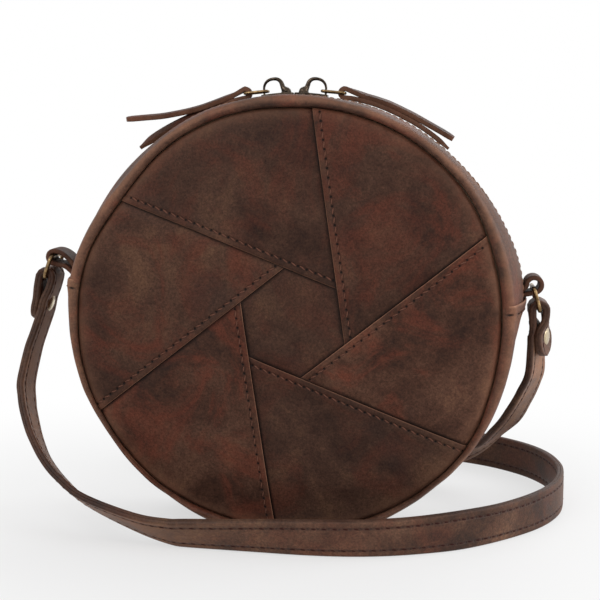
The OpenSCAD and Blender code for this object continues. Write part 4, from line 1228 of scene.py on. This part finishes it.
def ring_tabs():
    """The loops of leather that come out of the gusset's end seams and hold the rings, loose on the left."""
    count = 84
    for (side, word), end in zip(SIDES, (-ZIP_LEFT, ZIP_RIGHT)):
        bar = RING_BAR[side]
        root = polar(end - arc_angle(2.1, BAG_R), BAG_R - 3.5)
        way = unit(bar - root)
        up = np.array([-way[1], way[0]])
        if side < 0:
            drawn = curve_through([root + 0.98 * up, (101.65, 17.3), (104.65, 21.3), (106.7, 24.3), (109.3, 26.9),
                                   (112.3, 28.5), (114.9, 28.85), (116.6, 28.2), (117.4, 26.5), (117.1, 24.6),
                                   (115.6, 23.2), (112.8, 22.5), (109.4, 21.7), (106.6, 19.5), (103.15, 15.9),
                                   root - 0.98 * up], count)
        else:
            loop = [bar + (0.2 + 3.4 * math.sin(a), 1.5 + 3.4 * math.cos(a)) for a in np.linspace(-1.6, 2.8, 17)]
            drawn = curve_through([root + 0.95 * up, bar + (-7.0, -1.5), bar + (-4.4, -0.2)] + loop
                                  + [bar + (-0.6, -2.2), bar + (-3.4, -2.8), bar + (-7.4, -3.6), root - 0.95 * up],
                                  count)
        near = np.minimum(np.arange(count), np.arange(count)[::-1])
        thick = 0.86 + 0.26 * step(9, 24, near)
        obj = strip("ring_tab_%s_leather" % word, flat(side, drawn), np.tile([0.0, 1.0, 0.0], (count, 1)), 6.95,
                    thick, tab_hide, 0.2)
        place(obj, "bag", "dark_leather", "ring_tab_%s" % word)


# The middle lines of the pull's two tails, from the link to the tip, as (angle from the top, radius).
TAILS = {-1: ([(15.6, 105.9), (18.6, 105.5), (22.0, 105.5), (25.0, 106.0), (28.2, 107.3), (31.2, 109.2), (34.3, 111.8),
               (37.8, 116.0), (41.2, 120.9)],
              [(15.6, 103.3), (20.0, 103.3), (25.0, 103.6), (30.0, 104.3), (34.3, 105.1), (38.0, 105.8),
               (41.0, 106.3), (43.4, 106.7)]),
         1: ([(15.4, 106.7), (18.0, 106.4), (21.0, 106.7), (24.0, 107.0), (27.5, 107.1), (31.0, 107.4), (35.0, 107.9),
              (39.0, 108.9), (41.8, 109.7)],
             [(15.6, 103.8), (20.0, 104.3), (24.0, 104.5), (28.0, 104.6), (33.0, 104.9), (38.0, 105.0),
              (42.6, 104.9)])}


def pull_thongs():
    """Each pull is one strip, folded round its link's outer bar, with its two tails spread."""
    fold_r = LINK_WIRE_R + METAL_GAP + THONG_PLY
    back, up = -LINK_WAY, np.array([-LINK_WAY[1], LINK_WAY[0]])
    turn = [LINK_OUT + (back * math.sin(a) + up * math.cos(a)) * fold_r for a in np.linspace(0, math.pi, 13)]
    for side, word in SIDES:
        above, below = ([polar(*p) for p in tail] for tail in TAILS[side])
        line = flat(side, curve_through(above[::-1] + turn + below, 170))
        out = unit(line - np.array([0, 0, AXIS_Z]))
        run = run_along(line)
        upper, lower = run, run[-1] - run
        half = 2.3 * np.minimum(0.86 + 0.14 * step(0, 4, upper), 0.35 + 0.65 * step(0, 8, lower))
        half = half * (1 - 0.4 * np.clip(1 - upper / 0.6, 0, 1))
        thick = THONG_PLY * np.minimum(0.9 + 0.1 * step(0, 3, upper), 0.6 + 0.4 * step(0, 6, lower))
        # The upper tails twist by 14 degrees towards their tips, and the lower left one by 34.
        lean = 14 * step(2, 12, run[-1] / 2 - run) + (34 if side < 0 else 0) * step(9, 22, run - run[-1] / 2)
        lean = np.radians(lean)[:, None]
        way = np.cos(lean) * [0.0, 1.0, 0.0] + np.sin(lean) * out
        obj = strip("pull_thong_%s_leather" % word, line, way, half, thick, pull_hide, 0.4)
        place(obj, "thong_%s" % word, "dark_leather", "thong_%s" % word)


# ---------------------------------------------------------------- lining

LINING_WALL = 0.5


def linings():
    """The cloth inside the panels, and one piece of it inside the gusset and the zip bands."""
    rings, spokes = np.linspace(2.0, 95.0, 30), 96
    for side, word in FACES:
        x, v = disc_places(rings, spokes)
        height = dome(x * 0.985, v * 0.985) - LEATHER - 0.9
        height = height + np.minimum(0, 0.8 * swell(x, v, 11.0 + side) - 0.2)
        f = out_of_round(x, v) if side < 0 else 1.0
        points = np.stack([x * f, side * (HALF_GUSSET + height), AXIS_Z + v * f], -1)
        node = word + "_lining"
        obj = make(node + "_cloth", points, disc_faces(len(rings), spokes), lining_cloth, closed=False)
        skin(obj, LINING_WALL, "lining", node)
    section = curve_through([(94.9, 26.9), (96.8, 26.3), (98.8, 24.6), (99.9, 21.5), (100.1, 14.0)], 16)
    zip_run, low_run = np.linspace(ZIP_LEFT, ZIP_RIGHT, 120), np.linspace(ZIP_RIGHT, 360 + ZIP_LEFT, 150)
    across = np.vstack([section * [1, -1], section[::-1]])
    points, faces = [], []
    for angles, profile in ((zip_run, section * [1, -1]), (zip_run, section), (low_run, across)):
        a, r = np.meshgrid(angles, profile[:, 0], indexing="ij")
        y = np.broadcast_to(profile[:, 1], r.shape)
        p = around(a, r + wall_shift(a, r, y) * step(94, 97, r), y)
        if angles is low_run:
            p[..., 2] = np.maximum(p[..., 2], 2.3)
        base = sum(len(q) for q in points)
        faces += [tuple(base + i for i in f) for f in grid_faces(*r.shape)]
        points.append(p.reshape(-1, 3))
    obj = make("gusset_lining_cloth", np.vstack(points), faces, lining_cloth, closed=False)
    skin(obj, LINING_WALL, "lining", "gusset_lining")


# ---------------------------------------------------------------- studio

def studio():
    """A pale floor that fades to white with distance, an even white air and four soft lamps."""
    f = Finish("pale_floor", 0.9, 0.0, 0.1)
    f.shader.inputs["Base Color"].default_value = (0.8, 0.8, 0.8, 1)
    seen = f.add("ShaderNodeLightPath")
    rays = f.math("MAXIMUM", seen.outputs["Is Camera Ray"],
                  f.math("MAXIMUM", seen.outputs["Is Glossy Ray"], seen.outputs["Is Transmission Ray"]))
    away = f.add("ShaderNodeVectorMath", {0: f.place}, operation="LENGTH").outputs["Value"]
    paler = f.times(rays, f.span(away, 0.08, 0.34, 0.6, 1.0))
    glow = f.add("ShaderNodeEmission", {"Color": (1, 1, 1, 1), "Strength": 1.0})
    both = f.add("ShaderNodeMixShader", {0: paler, 1: f.shader.outputs[0], 2: glow.outputs[0]})
    f.tree.links.new(both.outputs[0], f.tree.nodes["Material Output"].inputs["Surface"])
    mesh = bpy.data.meshes.new("floor")
    mesh.from_pydata([(-4, -4, 0), (4, -4, 0), (4, 4, 0), (-4, 4, 0)], [], [(0, 1, 2, 3)])
    mesh.materials.append(f.material)
    in_scene("floor", mesh)

    world = bpy.data.worlds.new("studio_air")
    bpy.context.scene.world = world
    world.use_nodes = True
    tree = world.node_tree
    tree.nodes.clear()
    path = add_node(tree, "ShaderNodeLightPath").outputs
    seen_rays = add_node(tree, "ShaderNodeMath", {0: path["Is Camera Ray"], 1: path["Is Transmission Ray"]},
                         operation="MAXIMUM").outputs[0]
    seen_rays = add_node(tree, "ShaderNodeMath", {0: seen_rays, 1: path["Is Glossy Ray"]},
                         operation="MAXIMUM").outputs[0]
    air, seen_air = (add_node(tree, "ShaderNodeBackground", {"Color": (1, 1, 1, 1), "Strength": strength}).outputs[0]
                     for strength in (0.5, 1.0))
    mix = add_node(tree, "ShaderNodeMixShader", {0: seen_rays, 1: air, 2: seen_air})
    add_node(tree, "ShaderNodeOutputWorld", {"Surface": mix.outputs[0]})

    for name, spot, size, power in (("key_light", (-0.5, -0.9, 0.95), 0.8, 5.5),
                                    ("fill_light", (0.95, -0.6, 0.5), 0.8, 3.8),
                                    ("side_light", (1.0, 0.3, 0.5), 0.6, 4.5),
                                    ("rear_light", (0.35, 0.95, 0.9), 0.8, 3.5)):
        data = bpy.data.lights.new(name, "AREA")
        data.shape = "DISK"
        data.size = size
        data.energy = power
        lamp = in_scene(name, data)
        lamp.location = spot
        lamp.rotation_euler = (Vector((0, 0, 0.1)) - Vector(spot)).to_track_quat("-Z", "Y").to_euler()

    bpy.context.scene.view_settings.view_transform = "Standard"


# ---------------------------------------------------------------- the bag

for k in range(6):
    front_blade(k)
front_hexagon()
lap_stitches()
back_panel()
gusset_bottom()
sew("zip_band_stitches", [zip_band(side, word) for side, word in FACES], 2.3, 0.8, tan_thread, 7)
for side, word in FACES:
    zip_tape(side, word)
tooth = tooth_shape()
for (side, word), shift in zip(FACES, (0.0, 0.5)):
    zip_teeth(side, word, shift, tooth)
bpy.data.objects.remove(tooth)
for side, word in SIDES:
    slider_plates(word)
    crown(side, word)
pull_links()
strap_rings()
strap()
rivets()
ring_tabs()
pull_thongs()
linings()
studio()
